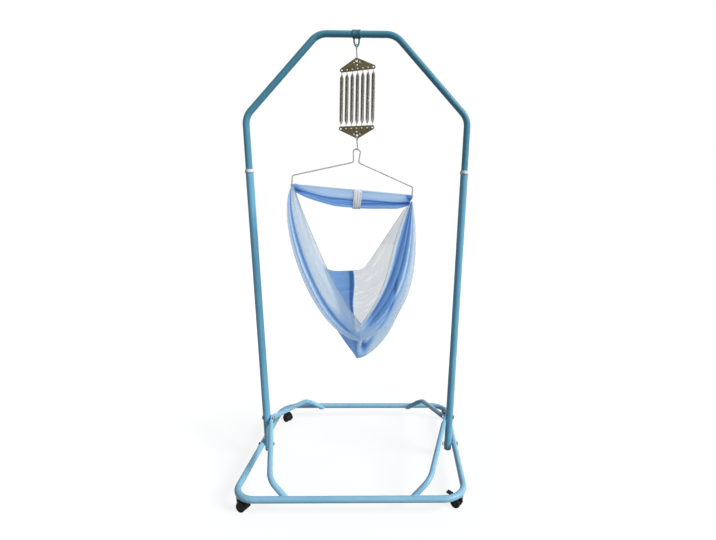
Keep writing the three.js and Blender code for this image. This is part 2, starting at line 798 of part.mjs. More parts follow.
// The band on the top bar with the closed teardrop loop that takes the first hook
function hookBand() {
  const half = bandWidth / 2;
  const outer = bandInnerRadius + bandWall;
  const ringProfile = [
    [bandInnerRadius, -half],
    [outer - bandWall / 2, -half],
    [outer, -half + bandWall],
    [outer, half - bandWall],
    [outer - bandWall / 2, half],
    [bandInnerRadius, half],
    [bandInnerRadius, -half],
  ];
  const ring = turned(ringProfile, ferruleSides);
  ring.rotateY(Math.PI / 2);
  ring.translate(0, 0, topBarHeight);
  const root = topBarHeight - outer + bandWall / 2;
  const belly = bandLoopBottom + bandLoopDrop / 2;
  const points = [
    at(-bandLoopHalfWidth, 0, root),
    at(-bandLoopHalfWidth, 0, belly),
    at(-bandLoopWaistHalfWidth, 0, bandLoopBottom),
    at(bandLoopWaistHalfWidth, 0, bandLoopBottom),
    at(bandLoopHalfWidth, 0, belly),
    at(bandLoopHalfWidth, 0, root),
  ];
  const loop = tubeAlong(bentRoute(points, bandLoopBend), bandLoopWireRadius, hookSides);
  return part("hook_band", carve(ring, [loop], []), paintTeal);
}

// The route of an S-hook in the YZ plane: two opposed bends joined by a slanting shank
function sHookRoute(top, bottom) {
  const upper = top - hookBendRadius;
  const lower = bottom + hookBendRadius;
  const shankAngle = Math.acos((2 * hookBendRadius) / (upper - lower));
  const start = -hookTipAngle * degree;
  const turn = (3 * Math.PI) / 2 - shankAngle;
  const steps = 2 * bendSteps;
  const bend = (centre, from, to) =>
    Array.from({ length: steps + 1 }, (unused, i) => {
      const angle = from + ((to - from) * i) / steps;
      return at(0, hookBendRadius * Math.cos(angle), centre + hookBendRadius * Math.sin(angle));
    });
  return [...bend(upper, start, turn), ...bend(lower, turn - Math.PI, -Math.PI - start)];
}

function sHook(name, top, bottom) {
  return part(name, tubeAlong(sHookRoute(top, bottom), hookWireRadius, hookSides), zincSteel);
}

// The convex outline round a set of circles, given as centre and radius
function outlineRound(circles) {
  const points = circles.flatMap(([x, y, radius]) =>
    ringPoints(radius, plateCornerSides).map((p) => new THREE.Vector2(x + p.x, y + p.y)),
  );
  points.sort((a, b) => a.x - b.x || a.y - b.y);
  const half = (list) => {
    const chain = [];
    list.forEach((p) => {
      while (chain.length > 1) {
        const a = chain[chain.length - 2];
        const b = chain[chain.length - 1];
        if ((b.x - a.x) * (p.y - a.y) - (b.y - a.y) * (p.x - a.x) > 0) break;
        chain.pop();
      }
      chain.push(p);
    });
    return chain.slice(0, -1);
  };
  return [...half(points), ...half([...points].reverse())];
}

// The distance of a row's end holes from its middle
function rowReach() {
  return ((plateHoleCount - 1) / 2) * plateHolePitch;
}

// The places of the spring holes along a plate's row, from left to right
function rowPlaces() {
  return Array.from({ length: plateHoleCount }, (unused, i) => i * plateHolePitch - rowReach());
}

// A spring plate: a flat triangle whose rounded corners and edges carry the rows of holes
function springPlate(name, flip, rowHeight, tilt) {
  const reach = rowReach();
  const corners = [
    [-reach, 0, plateEndRadius],
    [reach, 0, plateEndRadius],
    [0, plateApexRise, plateApexRadius],
  ];
  const outline = new THREE.Shape(outlineRound(corners));
  const drill = (x, y, radius) => {
    const centre = new THREE.Vector2(x, y);
    const sides = radius < plateEndHoleRadius ? plateHoleSides : boltSides;
    outline.holes.push(new THREE.Path(ringPoints(radius, sides).reverse().map((p) => p.add(centre))));
  };
  rowPlaces().forEach((x) => drill(x, 0, Math.abs(x) === reach ? plateEndHoleRadius : plateRowHoleRadius));
  drill(0, plateColumnRise, plateRowHoleRadius);
  drill(0, plateHookHoleRise, plateHookHoleRadius);
  [-1, 1].forEach((side) => drill(side * plateSideHoleAcross, plateSideHoleRise, plateSmallHoleRadius));
  const plate = new THREE.ExtrudeGeometry(outline, { depth: plateThickness, bevelEnabled: false });
  plate.translate(0, 0, -plateThickness / 2);
  plate.rotateX(Math.PI / 2);
  const mesh = part(name, plate, bronzePlate);
  mesh.position.set(0, 0, rowHeight + flip * plateHookHoleRise);
  mesh.geometry.translate(0, 0, -plateHookHoleRise);
  mesh.rotation.y = -tilt * degree + (flip < 0 ? Math.PI : 0);
  return mesh;
}

// The place of a row hole once its plate hangs tilted about the hook's hole
function rowHole(x, flip, rowHeight, tilt) {
  const turn = -tilt * degree;
  const hookHole = at(0, 0, rowHeight + flip * plateHookHoleRise);
  return at(x, 0, -flip * plateHookHoleRise).applyAxisAngle(at(0, 1, 0), turn).add(hookHole);
}

// A spring's route: a hook through the upper hole, a coil with drawn-in ends, a hook through the lower hole
function springRoute(top, bottom, seat) {
  const axis = bottom.clone().sub(top).normalize();
  const across = at(1, 0, 0).addScaledVector(axis, -axis.x).normalize();
  const depth = axis.clone().cross(across);
  const front = at(0, -springHookReach, 0);
  const back = at(0, springHookReach + 2 * springWireRadius, 0);
  const lead = (hole, way) => {
    const rest = hole.clone().addScaledVector(axis, way * seat);
    const tip = rest.clone().add(back);
    const face = rest.clone().add(front);
    const below = hole.clone().add(front).addScaledVector(axis, way * springHookDrop);
    return [tip, face, below];
  };
  const coilStart = springHookDrop + springShank;
  const length = bottom.distanceTo(top) - 2 * coilStart;
  const count = springCurls * springSteps;
  const coil = Array.from({ length: count + 1 }, (unused, i) => {
    const share = i / count;
    const inset = Math.min(share, 1 - share) / springTaperShare;
    const swell = THREE.MathUtils.smoothstep(inset, 0, 1);
    const radius = THREE.MathUtils.lerp(springNeckRadius, springRadius, swell);
    const angle = (2 * Math.PI * i) / springSteps - Math.PI / 2;
    return top
      .clone()
      .addScaledVector(axis, coilStart + share * length)
      .addScaledVector(across, radius * Math.cos(angle))
      .addScaledVector(depth, -radius * Math.sin(angle));
  });
  return [...lead(top, 1), ...coil, ...lead(bottom, -1).reverse()];
}

// The least gap of a spring's wire to itself, measured between stations more than half a curl apart
function leastSelfGap(route) {
  let least = Infinity;
  route.forEach((p, i) => {
    route.slice(i + springSteps / 2 + 1).forEach((q) => {
      least = Math.min(least, p.distanceTo(q) - 2 * springWireRadius);
    });
  });
  return least;
}

// The row of springs between the two plates
function springs() {
  const reach = rowReach();
  return rowPlaces().map((x, i) => {
    const top = rowHole(x, 1, topRowHeight, topPlateTilt);
    const bottom = rowHole(x, -1, bottomRowHeight, bottomPlateTilt);
    const seat = Math.abs(x) === reach ? springSeatInEndHole : springSeatInHole;
    const route = springRoute(top, bottom, seat);
    console.log(`spring_${i + 1} least self-gap ${leastSelfGap(route).toFixed(2)} mm`);
    return part(`spring_${i + 1}`, tubeAlong(route, springWireRadius, springSides), springSteel);
  });
}

// The bent wire of the hanger: legs, shoulders and the waisted neck that sits in the lower hook
function hangerWire() {
  const neckFoot = -hangerNeckHeight;
  const shoulder = neckFoot - hangerShoulderRise;
  const legEnd = -rodDrop + rodRadius + seatGap;
  const half = (side) => [
    at(side * hangerHalfSpan, 0, legEnd),
    at(side * hangerHalfSpan, 0, shoulder),
    at(side * hangerNeckFootHalf, 0, neckFoot),
    at(side * hangerNeckTopHalf, 0, 0),
  ];
  const points = [...half(-1), ...half(1).reverse()];
  const stations = [points[0]];
  const radii = [hangerBend, hangerBend, hangerNeckBend, hangerNeckBend, hangerBend, hangerBend];
  radii.forEach((radius, i) => {
    stations.push(...bentRoute(points.slice(i, i + 3), radius).slice(1, -1));
  });
  stations.push(points[points.length - 1]);
  return part("hanger_wire", tubeAlong(stations, hangerWireRadius, hangerSides), coatedWire);
}

// The straight rod under the hanger's legs
function hangerRod() {
  const reach = hangerHalfSpan + rodOverhang;
  const rod = straightTube(at(-reach, 0, -rodDrop), at(reach, 0, -rodDrop), rodRadius, hangerSides);
  return part("hanger_rod", rod, coatedWire);
}

// The header's depth below the rod, as shares of its full height from the left end to the right end
const headerHeightShares = [0.6, 0.86, 0.97, 1, 0.97, 0.84, 0.55];

// A value read smoothly from an evenly spaced table of shares
function readShares(shares, place) {
  const positions = shares.map((unused, i) => i / (shares.length - 1));
  return new THREE.CubicInterpolant(positions, shares, 1).evaluate(place)[0];
}

// One oval ring of the header, or of the strap round it when grown
function headerRing(x, grow) {
  const reach = hangerHalfSpan - headerEndMargin;
  const place = THREE.MathUtils.clamp((x / reach + 1) / 2, 0, 1);
  const low = headerHeight * readShares(headerHeightShares, place) + grow;
  const high = rodRadius + headerTopCover + grow;
  const middle = (high - low) / 2;
  const half = (high + low) / 2;
  return Array.from({ length: headerSides }, (unused, i) => {
    const angle = (2 * Math.PI * i) / headerSides;
    const y = (headerHalfThickness + grow) * Math.sin(angle);
    return at(x, y, -rodDrop + middle + half * Math.cos(angle));
  });
}

// The cloth gathered along the rod, with the rod's bore through it
function clothHeader() {
  const reach = hangerHalfSpan - headerEndMargin;
  const places = Array.from({ length: headerSteps + 1 }, (unused, i) => reach * ((2 * i) / headerSteps - 1));
  const outer = places.map((x) => headerRing(x, 0));
  const inner = places.map((x) =>
    Array.from({ length: headerSides }, (unused, i) => {
      const angle = (2 * Math.PI * i) / headerSides;
      const bore = rodRadius + slipGap;
      return at(x, bore * Math.sin(angle), -rodDrop + bore * Math.cos(angle));
    }),
  );
  return part("cloth_header", lofted(outer, inner), skyCloth);
}

// The white strap wrapped round the header
function clothStrap() {
  const places = Array.from({ length: strapSteps + 1 }, (unused, i) => {
    return strapAcross + strapWidth * (i / strapSteps - 1 / 2);
  });
  const outer = places.map((x) => headerRing(x, slipGap + strapThickness));
  const inner = places.map((x) => headerRing(x, slipGap));
  return part("cloth_strap", lofted(outer, inner), whiteCloth);
}

// The sling is a cloth loop read across from its front hem to its back hem at these stations
const slingStationShares = [0, 0.2, 0.45, 0.72, 1];
// The middle of the loop at each station: across as a share of the half span, depth of the half depth,
// and height above the lowest point of the drop
const slingMiddleShares = [
  [0.04, -0.9, 0.27],
  [0.01, -0.7, 0.2],
  [-0.005, 0.27, 0],
  [-0.07, 0.86, 0.24],
  [-0.2, 1.12, 0.485],
];
// The curve handles of each station: outward and down from the gather, then across and up from the middle
const slingLeftShares = [
  [-0.3, 0.33, 0.25, 0.22],
  [0.13, 0.35, 0.5, 0],
  [0.15, 0.33, 0.14, 0.2],
  [0.05, 0.4, 0.45, 0.02],
  [-0.4, 0.7, 0.4, 0.01],
];
const slingRightShares = [
  [-0.27, 0.37, 0.27, 0.2],
  [0.15, 0.38, 0.55, 0],
  [0.2, 0.34, 0.6, 0.09],
  [0, 0.45, 0.5, 0.03],
  [-0.66, 0.86, 0.26, 0],
];

// All shares of a station table, read smoothly at a place between the hems
function readStations(table, place) {
  const size = table[0].length;
  return Array.from(new THREE.CubicInterpolant(slingStationShares, table.flat(), size).evaluate(place));
}

// The rod's end on one side, in the frame that turns with the hanger but doesn't tilt
function rodEnd(side) {
  return at(side * hangerHalfSpan, 0, -rodDrop).applyAxisAngle(at(0, 1, 0), hangerTilt * degree);
}

// A point of the sling: along runs from -1 at the left gather to 1 at the right, across from hem to hem
function slingBase(along, across) {
  const side = along < 0 ? -1 : 1;
  const end = rodEnd(side);
  const centre = rodEnd(-1).add(rodEnd(1)).multiplyScalar(1 / 2);
  const [overShare, depthShare, riseShare] = readStations(slingMiddleShares, across);
  const middle = at(
    centre.x + overShare * hangerHalfSpan,
    depthShare * slingHalfDepth,
    centre.z - slingDrop * (1 - riseShare),
  );
  const spread = 2 * across - 1;
  const gather = at(
    end.x + side * (rodOverhang / 2 - slingGatherWidth * spread * spread),
    slingGatherDepth * spread,
    end.z - rodRadius - slipGap,
  );
  const width = Math.abs(middle.x - gather.x);
  const height = gather.z - middle.z;
  const [out, down, over, up] = readStations(side < 0 ? slingLeftShares : slingRightShares, across);
  const nearHandle = at(
    gather.x + side * out * width,
    THREE.MathUtils.lerp(gather.y, middle.y, down),
    gather.z - down * height,
  );
  const farHandle = at(middle.x + side * over * width, middle.y, middle.z + up * height);
  return new THREE.CubicBezierCurve3(middle, farHandle, nearHandle, gather).getPoint(Math.abs(along));
}

// The sling's outward direction at a point
function slingNormal(along, across) {
  const step = 1 / (slingSteps * slingSteps);
  const near = (value, low) => [Math.max(value - step, low), Math.min(value + step, 1)];
  const [back, ahead] = near(along, -1);
  const [front, rear] = near(across, 0);
  const lengthwise = slingBase(ahead, across).sub(slingBase(back, across));
  const crosswise = slingBase(along, rear).sub(slingBase(along, front));
  return lengthwise.cross(crosswise).normalize();
}

// The sling with its main folds, which run from gather to gather and fade at the hems
function slingPoint(along, across, offset) {
  const hemFade = Math.sin(Math.PI * THREE.MathUtils.clamp(across, 0, 1));
  const gatherFade = 1 - slingCalmShare * along ** slingCalmPower;
  const wave = Math.sin(2 * Math.PI * slingFoldCount * across + along);
  const fold = slingFoldDepth * wave * hemFade * gatherFade;
  return slingBase(along, across).addScaledVector(slingNormal(along, across), fold + offset);
}

// The cloth sling: a closed thin shell on both sides of its middle surface
function clothSling() {
  const rings = Array.from({ length: slingSteps + 1 }, (unused, i) => {
    const along = (2 * i) / slingSteps - 1;
    const row = (offset) =>
      Array.from({ length: slingRows + 1 }, (unused2, k) => slingPoint(along, k / slingRows, offset));
    return [...row(clothThickness / 2), ...row(-clothThickness / 2).reverse()];
  });
  return part("cloth_sling", shellLoft(rings), skyCloth);
}

// A loft of flat rings whose two halves are the two sides of a sheet, capped by strips
function shellLoft(rings) {
  const count = rings[0].length;
  const order = [];
  const quad = (a, b, c, d) => order.push(a, b, c, a, c, d);
  rings.slice(1).forEach((unused, row) => {
    for (let i = 0; i < count; i += 1) {
      const next = (i + 1) % count;
      const low = row * count;
      quad(low + i, low + next, low + count + next, low + count + i);
    }
  });
  [0, rings.length - 1].forEach((row, end) => {
    for (let i = 0; i < count / 2 - 1; i += 1) {
      const low = row * count;
      const corners = [low + i, low + count - 1 - i, low + count - 2 - i, low + i + 1];
      quad(...(end ? corners.reverse() : corners));
    }
  });
  const places = rings.flat().flatMap((p) => [p.x, p.y, p.z]);
  const geometry = new THREE.BufferGeometry();
  geometry.setAttribute("position", new THREE.Float32BufferAttribute(places, 3));
  geometry.setIndex(order);
  return geometry;
}

// The hanger and all the cloth, hung from the lower hook
function cradle() {
  const turnedGroup = new THREE.Group();
  turnedGroup.position.set(0, 0, hangHeight);
  turnedGroup.rotation.z = cradleYaw * degree;
  const tilted = new THREE.Group();
  tilted.rotation.y = hangerTilt * degree;
  tilted.add(hangerWire(), hangerRod(), clothHeader(), clothStrap());
  turnedGroup.add(tilted, clothSling());
  return turnedGroup;
}

const model = new THREE.Group();
model.add(archTube(), frontBase(), rearBase(), hookBand());
[-1, 1].forEach((side) => {
  model.add(upright(side), ferrule(side), footPlug(side), ...sideFasteners(side));
  [-1, 1].forEach((end) => model.add(brace(side, end), castor(side, end)));
});
model.add(sHook("upper_s_hook", upperHookTop, upperHookBottom));
model.add(springPlate("top_spring_plate", 1, topRowHeight, topPlateTilt), ...springs());
model.add(springPlate("bottom_spring_plate", -1, bottomRowHeight, bottomPlateTilt));
model.add(sHook("lower_s_hook", lowerHookTop, lowerHookBottom), cradle());

export default model;
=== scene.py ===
"""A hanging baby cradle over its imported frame: stand, castors, spring pack, wire hanger, sheer cloth."""

import logging
import math
from dataclasses import dataclass
from enum import Enum
from typing import Sequence

import bmesh
import bpy
import numpy as np
from mathutils import Matrix, Vector


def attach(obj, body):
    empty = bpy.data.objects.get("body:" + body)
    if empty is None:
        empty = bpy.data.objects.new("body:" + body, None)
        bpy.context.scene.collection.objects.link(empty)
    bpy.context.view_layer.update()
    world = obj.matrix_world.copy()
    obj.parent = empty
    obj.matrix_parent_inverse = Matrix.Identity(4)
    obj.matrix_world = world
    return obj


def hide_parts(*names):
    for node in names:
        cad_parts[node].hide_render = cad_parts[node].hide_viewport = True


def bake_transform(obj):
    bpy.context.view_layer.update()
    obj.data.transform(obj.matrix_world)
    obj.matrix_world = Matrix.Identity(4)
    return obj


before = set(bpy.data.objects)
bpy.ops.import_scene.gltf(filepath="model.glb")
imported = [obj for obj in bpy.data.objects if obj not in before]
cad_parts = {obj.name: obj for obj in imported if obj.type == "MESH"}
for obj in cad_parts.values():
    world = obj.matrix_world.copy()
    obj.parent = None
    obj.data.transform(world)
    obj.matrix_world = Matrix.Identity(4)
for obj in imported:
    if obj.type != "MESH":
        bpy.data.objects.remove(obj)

LOG = logging.getLogger("cradle")
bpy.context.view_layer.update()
MM = 0.001
MERGE = 1e-4  # Points nearer than this, in millimetres, become one.
BEND_ROOM = 0.48  # The share of a straight side that one bend may take up.
WHITE = (1.0, 1.0, 1.0, 1.0)

Pair = tuple[float, float]
Outline = Sequence[Pair]
Route = Sequence[Vector]
Mesh = bpy.types.Mesh
Node = bpy.types.Node
Tree = bpy.types.NodeTree
Given = dict[str, bpy.types.NodeSocket]
Shape = tuple[list[Vector], list[tuple[int, ...]]]
Table = tuple[tuple[float, ...], ...]


class Place(Enum):
    """A named place on the cradle, whose word is part of the names of nodes and pieces."""

    @property
    def label(self) -> str:
        """The place's word."""
        return self.name.lower()


class Side(Place):
    """A side of the stand, by the sign of its X."""

    LEFT = -1
    RIGHT = 1


class End(Place):
    """An end of the base, by the sign of its Y."""

    FRONT = -1
    REAR = 1


class Row(Place):
    """A row of spring holes, by the side of it that its plate's hook is on."""

    TOP = 1
    BOTTOM = -1


class Hem(Place):
    """A hem of the sling, by its place across the cloth."""

    FRONT = 0.0
    BACK = 1.0


# Colours and shader nodes


def linear(hex_colour: str) -> tuple[float, float, float, float]:
    """Turns an sRGB hex colour into the linear colour that a shader socket takes.

    Args:
        hex_colour: a colour such as "#6fb0d2".

    Returns:
        Linear red, green, blue and an alpha of one.
    """
    parts = [int(hex_colour[i : i + 2], 16) / 255 for i in (1, 3, 5)]
    red, green, blue = (c / 12.92 if c <= 0.04045 else ((c + 0.055) / 1.055) ** 2.4 for c in parts)
    return (red, green, blue, 1.0)


def band_scale(period_mm: float) -> float:
    """The Wave texture scale whose bands repeat at a real distance in millimetres."""
    return math.pi / 10 / (period_mm * MM)


def add_node(
    tree: Tree,
    kind: str,
    inputs: dict | None = None,
    stops: Sequence[tuple[float, str]] = (),
    **settings: object,
) -> Node:
    """Adds a node to a tree.

    Args:
        tree: the tree that gets the node.
        kind: the node's type name.
        inputs: socket name or number to a value, an output socket, or a node whose first output is meant.
        stops: place and hex colour of each stop, where the node has a colour ramp.
        settings: properties of the node itself.

    Returns:
        The new node.
    """
    node = tree.nodes.new(kind)
    for name, value in settings.items():
        setattr(node, name, value)
    if stops:
        band = node.color_ramp.elements
        while len(band) < len(stops):
            band.new(1.0)
        for element, (place, colour) in zip(band, stops):
            element.position, element.color = place, linear(colour)
    for key, value in (inputs or {}).items():
        source = value.outputs[0] if isinstance(value, Node) else value
        if isinstance(source, bpy.types.NodeSocket):
            tree.links.new(source, node.inputs[key])
        else:
            node.inputs[key].default_value = source
    return node


@dataclass(frozen=True)
class Finish:
    """A material made once and shared by every piece that has it."""

    name: str

    def shader(self, tree: Tree) -> Node:
        """Adds the finish's nodes and returns the last one, as each kind of finish does."""
        raise NotImplementedError

    def material(self) -> bpy.types.Material:
        """Finds the finish's material, or builds it on first use.

        Returns:
            The material.
        """
        made = bpy.data.materials.get(self.name)
        if not made:
            made = bpy.data.materials.new(self.name)
            made.use_nodes = True
            made.node_tree.nodes.clear()
            last = self.shader(made.node_tree)
            add_node(made.node_tree, "ShaderNodeOutputMaterial", {"Surface": last})
        return made


@dataclass(frozen=True)
class PowderCoat(Finish):
    """Polyester powder coat baked on steel tube: an even gloss, fine orange peel and faint handling marks."""

    colour: str = "#8fcbea"
    pale: str = "#a0d6f0"
    worn: str = "#6fa9c8"
    peel_mm: float = 2.2
    roughness: float = 0.3

    def shader(self, tree: Tree) -> Node:
        """Clouds the colour as the spray does, rubs small marks in it and lays orange peel in the bump.

        Args:
            tree: the material's tree.

        Returns:
            The shader.
        """
        place = add_node(tree, "ShaderNodeTexCoord").outputs["Object"]
        cloud = add_node(tree, "ShaderNodeTexNoise", {"Vector": place, "Scale": 7.0, "Detail": 3.0})
        tone = add_node(tree, "ShaderNodeValToRGB", {"Fac": cloud}, [(0.3, self.colour), (0.75, self.pale)])
        speckle = {"Vector": place, "Scale": 90.0, "Detail": 6.0, "Roughness": 0.7}
        marks = add_node(tree, "ShaderNodeTexNoise", speckle)
        rub = add_node(tree, "ShaderNodeMapRange", {"Value": marks, "From Min": 0.66, "From Max": 0.74})
        blend = {"Factor": rub, "A": tone, "B": linear(self.worn)}
        mixed = add_node(tree, "ShaderNodeMix", blend, data_type="RGBA")
        spread = {"Value": cloud, "To Min": self.roughness - 0.05, "To Max": self.roughness + 0.12}
        rough = add_node(tree, "ShaderNodeMapRange", spread)
        grit = {"Vector": place, "Scale": 1 / (self.peel_mm * MM), "Detail": 1.0}
        peel = add_node(tree, "ShaderNodeTexNoise", grit)
        bump = add_node(tree, "ShaderNodeBump", {"Height": peel, "Strength": 0.25, "Distance": 0.0001})
        surface = {"Base Color": mixed.outputs["Result"], "Roughness": rough, "Normal": bump}
        gloss = {"Specular IOR Level": 0.22, "Coat Weight": 0.08, "Coat Roughness": 0.2}
        return add_node(tree, "ShaderNodeBsdfPrincipled", surface | gloss)


@dataclass(frozen=True)
class MouldedPlastic(Finish):
    """Injection-moulded nylon or polyethylene: an even colour, spark-eroded grain and a soft gloss."""

    colour: str = "#060707"
    dusty: str = "#131415"
    grain_mm: float = 0.8
    roughness: float = 0.5

    def shader(self, tree: Tree) -> Node:
        """Lays mould grain in the bump, and a trace of dust in the colour.

        Args:
            tree: the material's tree.

        Returns:
            The shader.
        """
        place = add_node(tree, "ShaderNodeTexCoord").outputs["Object"]
        dust = add_node(tree, "ShaderNodeTexNoise", {"Vector": place, "Scale": 60.0, "Detail": 5.0})
        tone = add_node(tree, "ShaderNodeValToRGB", {"Fac": dust}, [(0.45, self.colour), (0.8, self.dusty)])
        grain = add_node(tree, "ShaderNodeTexVoronoi", {"Vector": place, "Scale": 1 / (self.grain_mm * MM)})
        bump = add_node(tree, "ShaderNodeBump", {"Height": grain, "Strength": 0.3, "Distance": 0.00008})
        surface = {"Base Color": tone, "Normal": bump, "Roughness": self.roughness, "Specular IOR Level": 0.2}
        return add_node(tree, "ShaderNodeBsdfPrincipled", surface)


@dataclass(frozen=True)
class PlatedSteel(Finish):
    """Zinc or nickel plated steel: a metal whose drawn or rolled surface spreads light in fine streaks."""

    colour: str = "#c3c6c8"
    dull: str = "#8e9193"
    grain_mm: float = 1.2
    roughness: float = 0.34
    metallic: float = 0.9

    def shader(self, tree: Tree) -> Node:
        """Dulls the plating and roughens it in patches, and lays a fine rolled grain in the bump.

        Args:
            tree: the material's tree.

        Returns:
            The shader.
        """
        place = add_node(tree, "ShaderNodeTexCoord").outputs["Object"]
        patch = add_node(tree, "ShaderNodeTexNoise", {"Vector": place, "Scale": 140.0, "Detail": 5.0})
        tone = add_node(tree, "ShaderNodeValToRGB", {"Fac": patch}, [(0.35, self.dull), (0.65, self.colour)])
        spread = {"Value": patch, "To Min": self.roughness + 0.12, "To Max": self.roughness - 0.06}
        rough = add_node(tree, "ShaderNodeMapRange", spread)
        streaks = {"Vector": place, "Scale": 1 / (self.grain_mm * MM), "Detail": 2.0}
        grain = add_node(tree, "ShaderNodeTexNoise", streaks)
        bump = add_node(tree, "ShaderNodeBump", {"Height": grain, "Strength": 0.2, "Distance": 0.00006})
        surface = {"Base Color": tone, "Roughness": rough, "Normal": bump, "Metallic": self.metallic}
        return add_node(tree, "ShaderNodeBsdfPrincipled", surface)


@dataclass(frozen=True)
class SheerVoile(Finish):
    """Polyester voile dyed light blue: a thin plain weave, see-through when single, deep blue where bunched.

    The real thread spacing is near 0.3 mm. It is drawn at 1.6 mm so that it shows in a close view.
    """

    thread_mm: float = 1.6
    single: float = 0.52
    bunched: float = 1.0
    lit_through: float = 0.62
    # Colour stops by depth: the grey stop at 0 is painted shade, for a single ply lying in shade; the blues
    # deepen with bunched cloth and with the painted shade of folds.
    dye_and_shade: tuple[tuple[float, str], ...] = (
        (0.0, "#aeb6bd"),
        (0.06, "#e9f5ff"),
        (0.16, "#dbefff"),
        (0.35, "#bddcf9"),
        (0.55, "#99c5f3"),
        (0.78, "#74a1d9"),
        (1.0, "#426ea8"),
    )

    def shader(self, tree: Tree) -> Node:
        """Colours and covers by a depth value that holds both the bunching of the cloth and painted shade and
        highlight from its folds, with threads both ways and lengthwise creases.

        The weave passes light from both sides, which is what keeps its shaded side pale.

        Args:
            tree: the material's tree.

        Returns:
            The shader.
        """
        layers = add_node(tree, "ShaderNodeAttribute", attribute_name="layers").outputs["Fac"]
        flat = add_node(tree, "ShaderNodeTexCoord").outputs["UV"]
        drawn = add_node(tree, "ShaderNodeMapping", {"Vector": flat, "Scale": (90.0, 5.0, 1.0)})
        streak = add_node(tree, "ShaderNodeTexNoise", {"Vector": drawn, "Scale": 1.0, "Detail": 5.0})
        spread = add_node(tree, "ShaderNodeMapRange", {"Value": streak, "To Min": -0.15, "To Max": 0.15})
        depth = add_node(tree, "ShaderNodeMath", {0: layers, 1: spread}, operation="ADD")
        tone = add_node(tree, "ShaderNodeValToRGB", {"Fac": depth}, self.dye_and_shade)
        threads = {"Vector": flat, "Scale": band_scale(self.thread_mm)}
        warp, weft = (
            add_node(tree, "ShaderNodeTexWave", threads, bands_direction=way).outputs["Fac"] for way in "XY"
        )
        weave = add_node(tree, "ShaderNodeMath", {0: warp, 1: weft}, operation="ADD")
        drawn = add_node(tree, "ShaderNodeMapping", {"Vector": flat, "Scale": (40.0, 3.0, 1.0)})
        crease = add_node(tree, "ShaderNodeTexNoise", {"Vector": drawn, "Scale": 1.0, "Detail": 3.0})
        folds = add_node(tree, "ShaderNodeBump", {"Height": crease, "Strength": 0.5, "Distance": 0.005})
        fine = {"Height": weave, "Strength": 0.15, "Distance": 0.0002, "Normal": folds}
        surface = {"Base Color": tone, "Normal": add_node(tree, "ShaderNodeBump", fine)}
        fuzz = {"Roughness": 0.75, "Sheen Weight": 0.3, "Specular IOR Level": 0.25}
        front = add_node(tree, "ShaderNodeBsdfPrincipled", surface | fuzz)
        glow = add_node(tree, "ShaderNodeBsdfTranslucent", {"Color": tone})
        cloth = add_node(tree, "ShaderNodeMixShader", {0: self.lit_through, 1: front, 2: glow})
        share = {"Value": depth, "From Max": 0.5, "To Min": self.single, "To Max": self.bunched}
        cover = add_node(tree, "ShaderNodeMapRange", share)
        gap = add_node(tree, "ShaderNodeBsdfTransparent")
        return add_node(tree, "ShaderNodeMixShader", {0: cover, 1: gap, 2: cloth})


@dataclass(frozen=True)
class WovenTape(Finish):
    """Polyester tape woven white: a tight rib across its width that greys slightly where it is handled."""

    rib_mm: float = 1.5

    def shader(self, tree: Tree) -> Node:
        """Ribs the tape across, and soils it a little.

        Args:
            tree: the material's tree.

        Returns:
            The shader.
        """
        place = add_node(tree, "ShaderNodeTexCoord").outputs["Object"]
        soil = add_node(tree, "ShaderNodeTexNoise", {"Vector": place, "Scale": 70.0, "Detail": 4.0})
        tone = add_node(tree, "ShaderNodeValToRGB", {"Fac": soil}, [(0.3, "#dfe4ee"), (0.7, "#f3f5f9")])
        threads = {"Vector": place, "Scale": band_scale(self.rib_mm)}
        ribs = add_node(tree, "ShaderNodeTexWave", threads, bands_direction="Z").outputs["Fac"]
        bump = add_node(tree, "ShaderNodeBump", {"Height": ribs, "Strength": 0.5, "Distance": 0.0003})
        surface = {"Base Color": tone, "Normal": bump, "Roughness": 0.85, "Sheen Weight": 0.2}
        return add_node(tree, "ShaderNodeBsdfPrincipled", surface)


SKY_PAINT = PowderCoat("powder_coat_sky_blue")
# The stand has one sky-blue paint. The uprights, the arch and the band on the top bar get darker copies of
# it, as painted shade where less light falls on them: the uprights a little, the arch and band most.
UPRIGHT_SHADED_PAINT = PowderCoat("powder_coat_sky_blue_mid_shade", "#6fb6d6", "#80c3e0", "#5292b2")
ARCH_SHADED_PAINT = PowderCoat("powder_coat_sky_blue_arch_shade", "#4f98b4", "#5fa8c2", "#3c7a94")
BAND_SHADED_PAINT = PowderCoat("powder_coat_sky_blue_band_shade", "#3a7f93", "#4a90a2", "#2a5f70")
BLACK_NYLON = MouldedPlastic("moulded_black_nylon")
TYRE_NYLON = MouldedPlastic("moulded_wheel_nylon", "#080909", "#1b1c1c", 1.4, 0.6)
WHITE_NYLON = MouldedPlastic("moulded_white_nylon", "#f1f1ee", "#dcdcd8", 1.0, 0.45)
BLUE_PLUG = MouldedPlastic("moulded_blue_polyethylene", "#4a89ab", "#5d9abb", 1.0, 0.5)
ZINC = PlatedSteel("zinc_plated_steel")
DARK_BOLT = PlatedSteel("blackened_bolt_steel", "#5b6066", "#33373b", 0.9, 0.4)
HOOK_STEEL = PlatedSteel("plated_hook_wire", "#8f9294", "#5f6264", 0.9, 0.32)
HANGER_STEEL = PlatedSteel("plated_hanger_wire", "#c6c6c4", "#adadab", 1.4, 0.5, 0.3)
SPRING_STEEL = PlatedSteel("drawn_spring_wire", "#8f8b7b", "#625e50", 0.8, 0.34, 0.5)
PLATE_LACQUER = PlatedSteel("lacquered_spring_plate", "#6f6547", "#443d28", 2.4, 0.42, 0.55)
RIM_LACQUER = PlatedSteel("dark_hole_rim", "#33352c", "#1e201a", 1.0, 0.4, 0.5)
VOILE = SheerVoile("sheer_blue_voile")
TAPE = WovenTape("woven_white_tape")


# Geometry Nodes trees


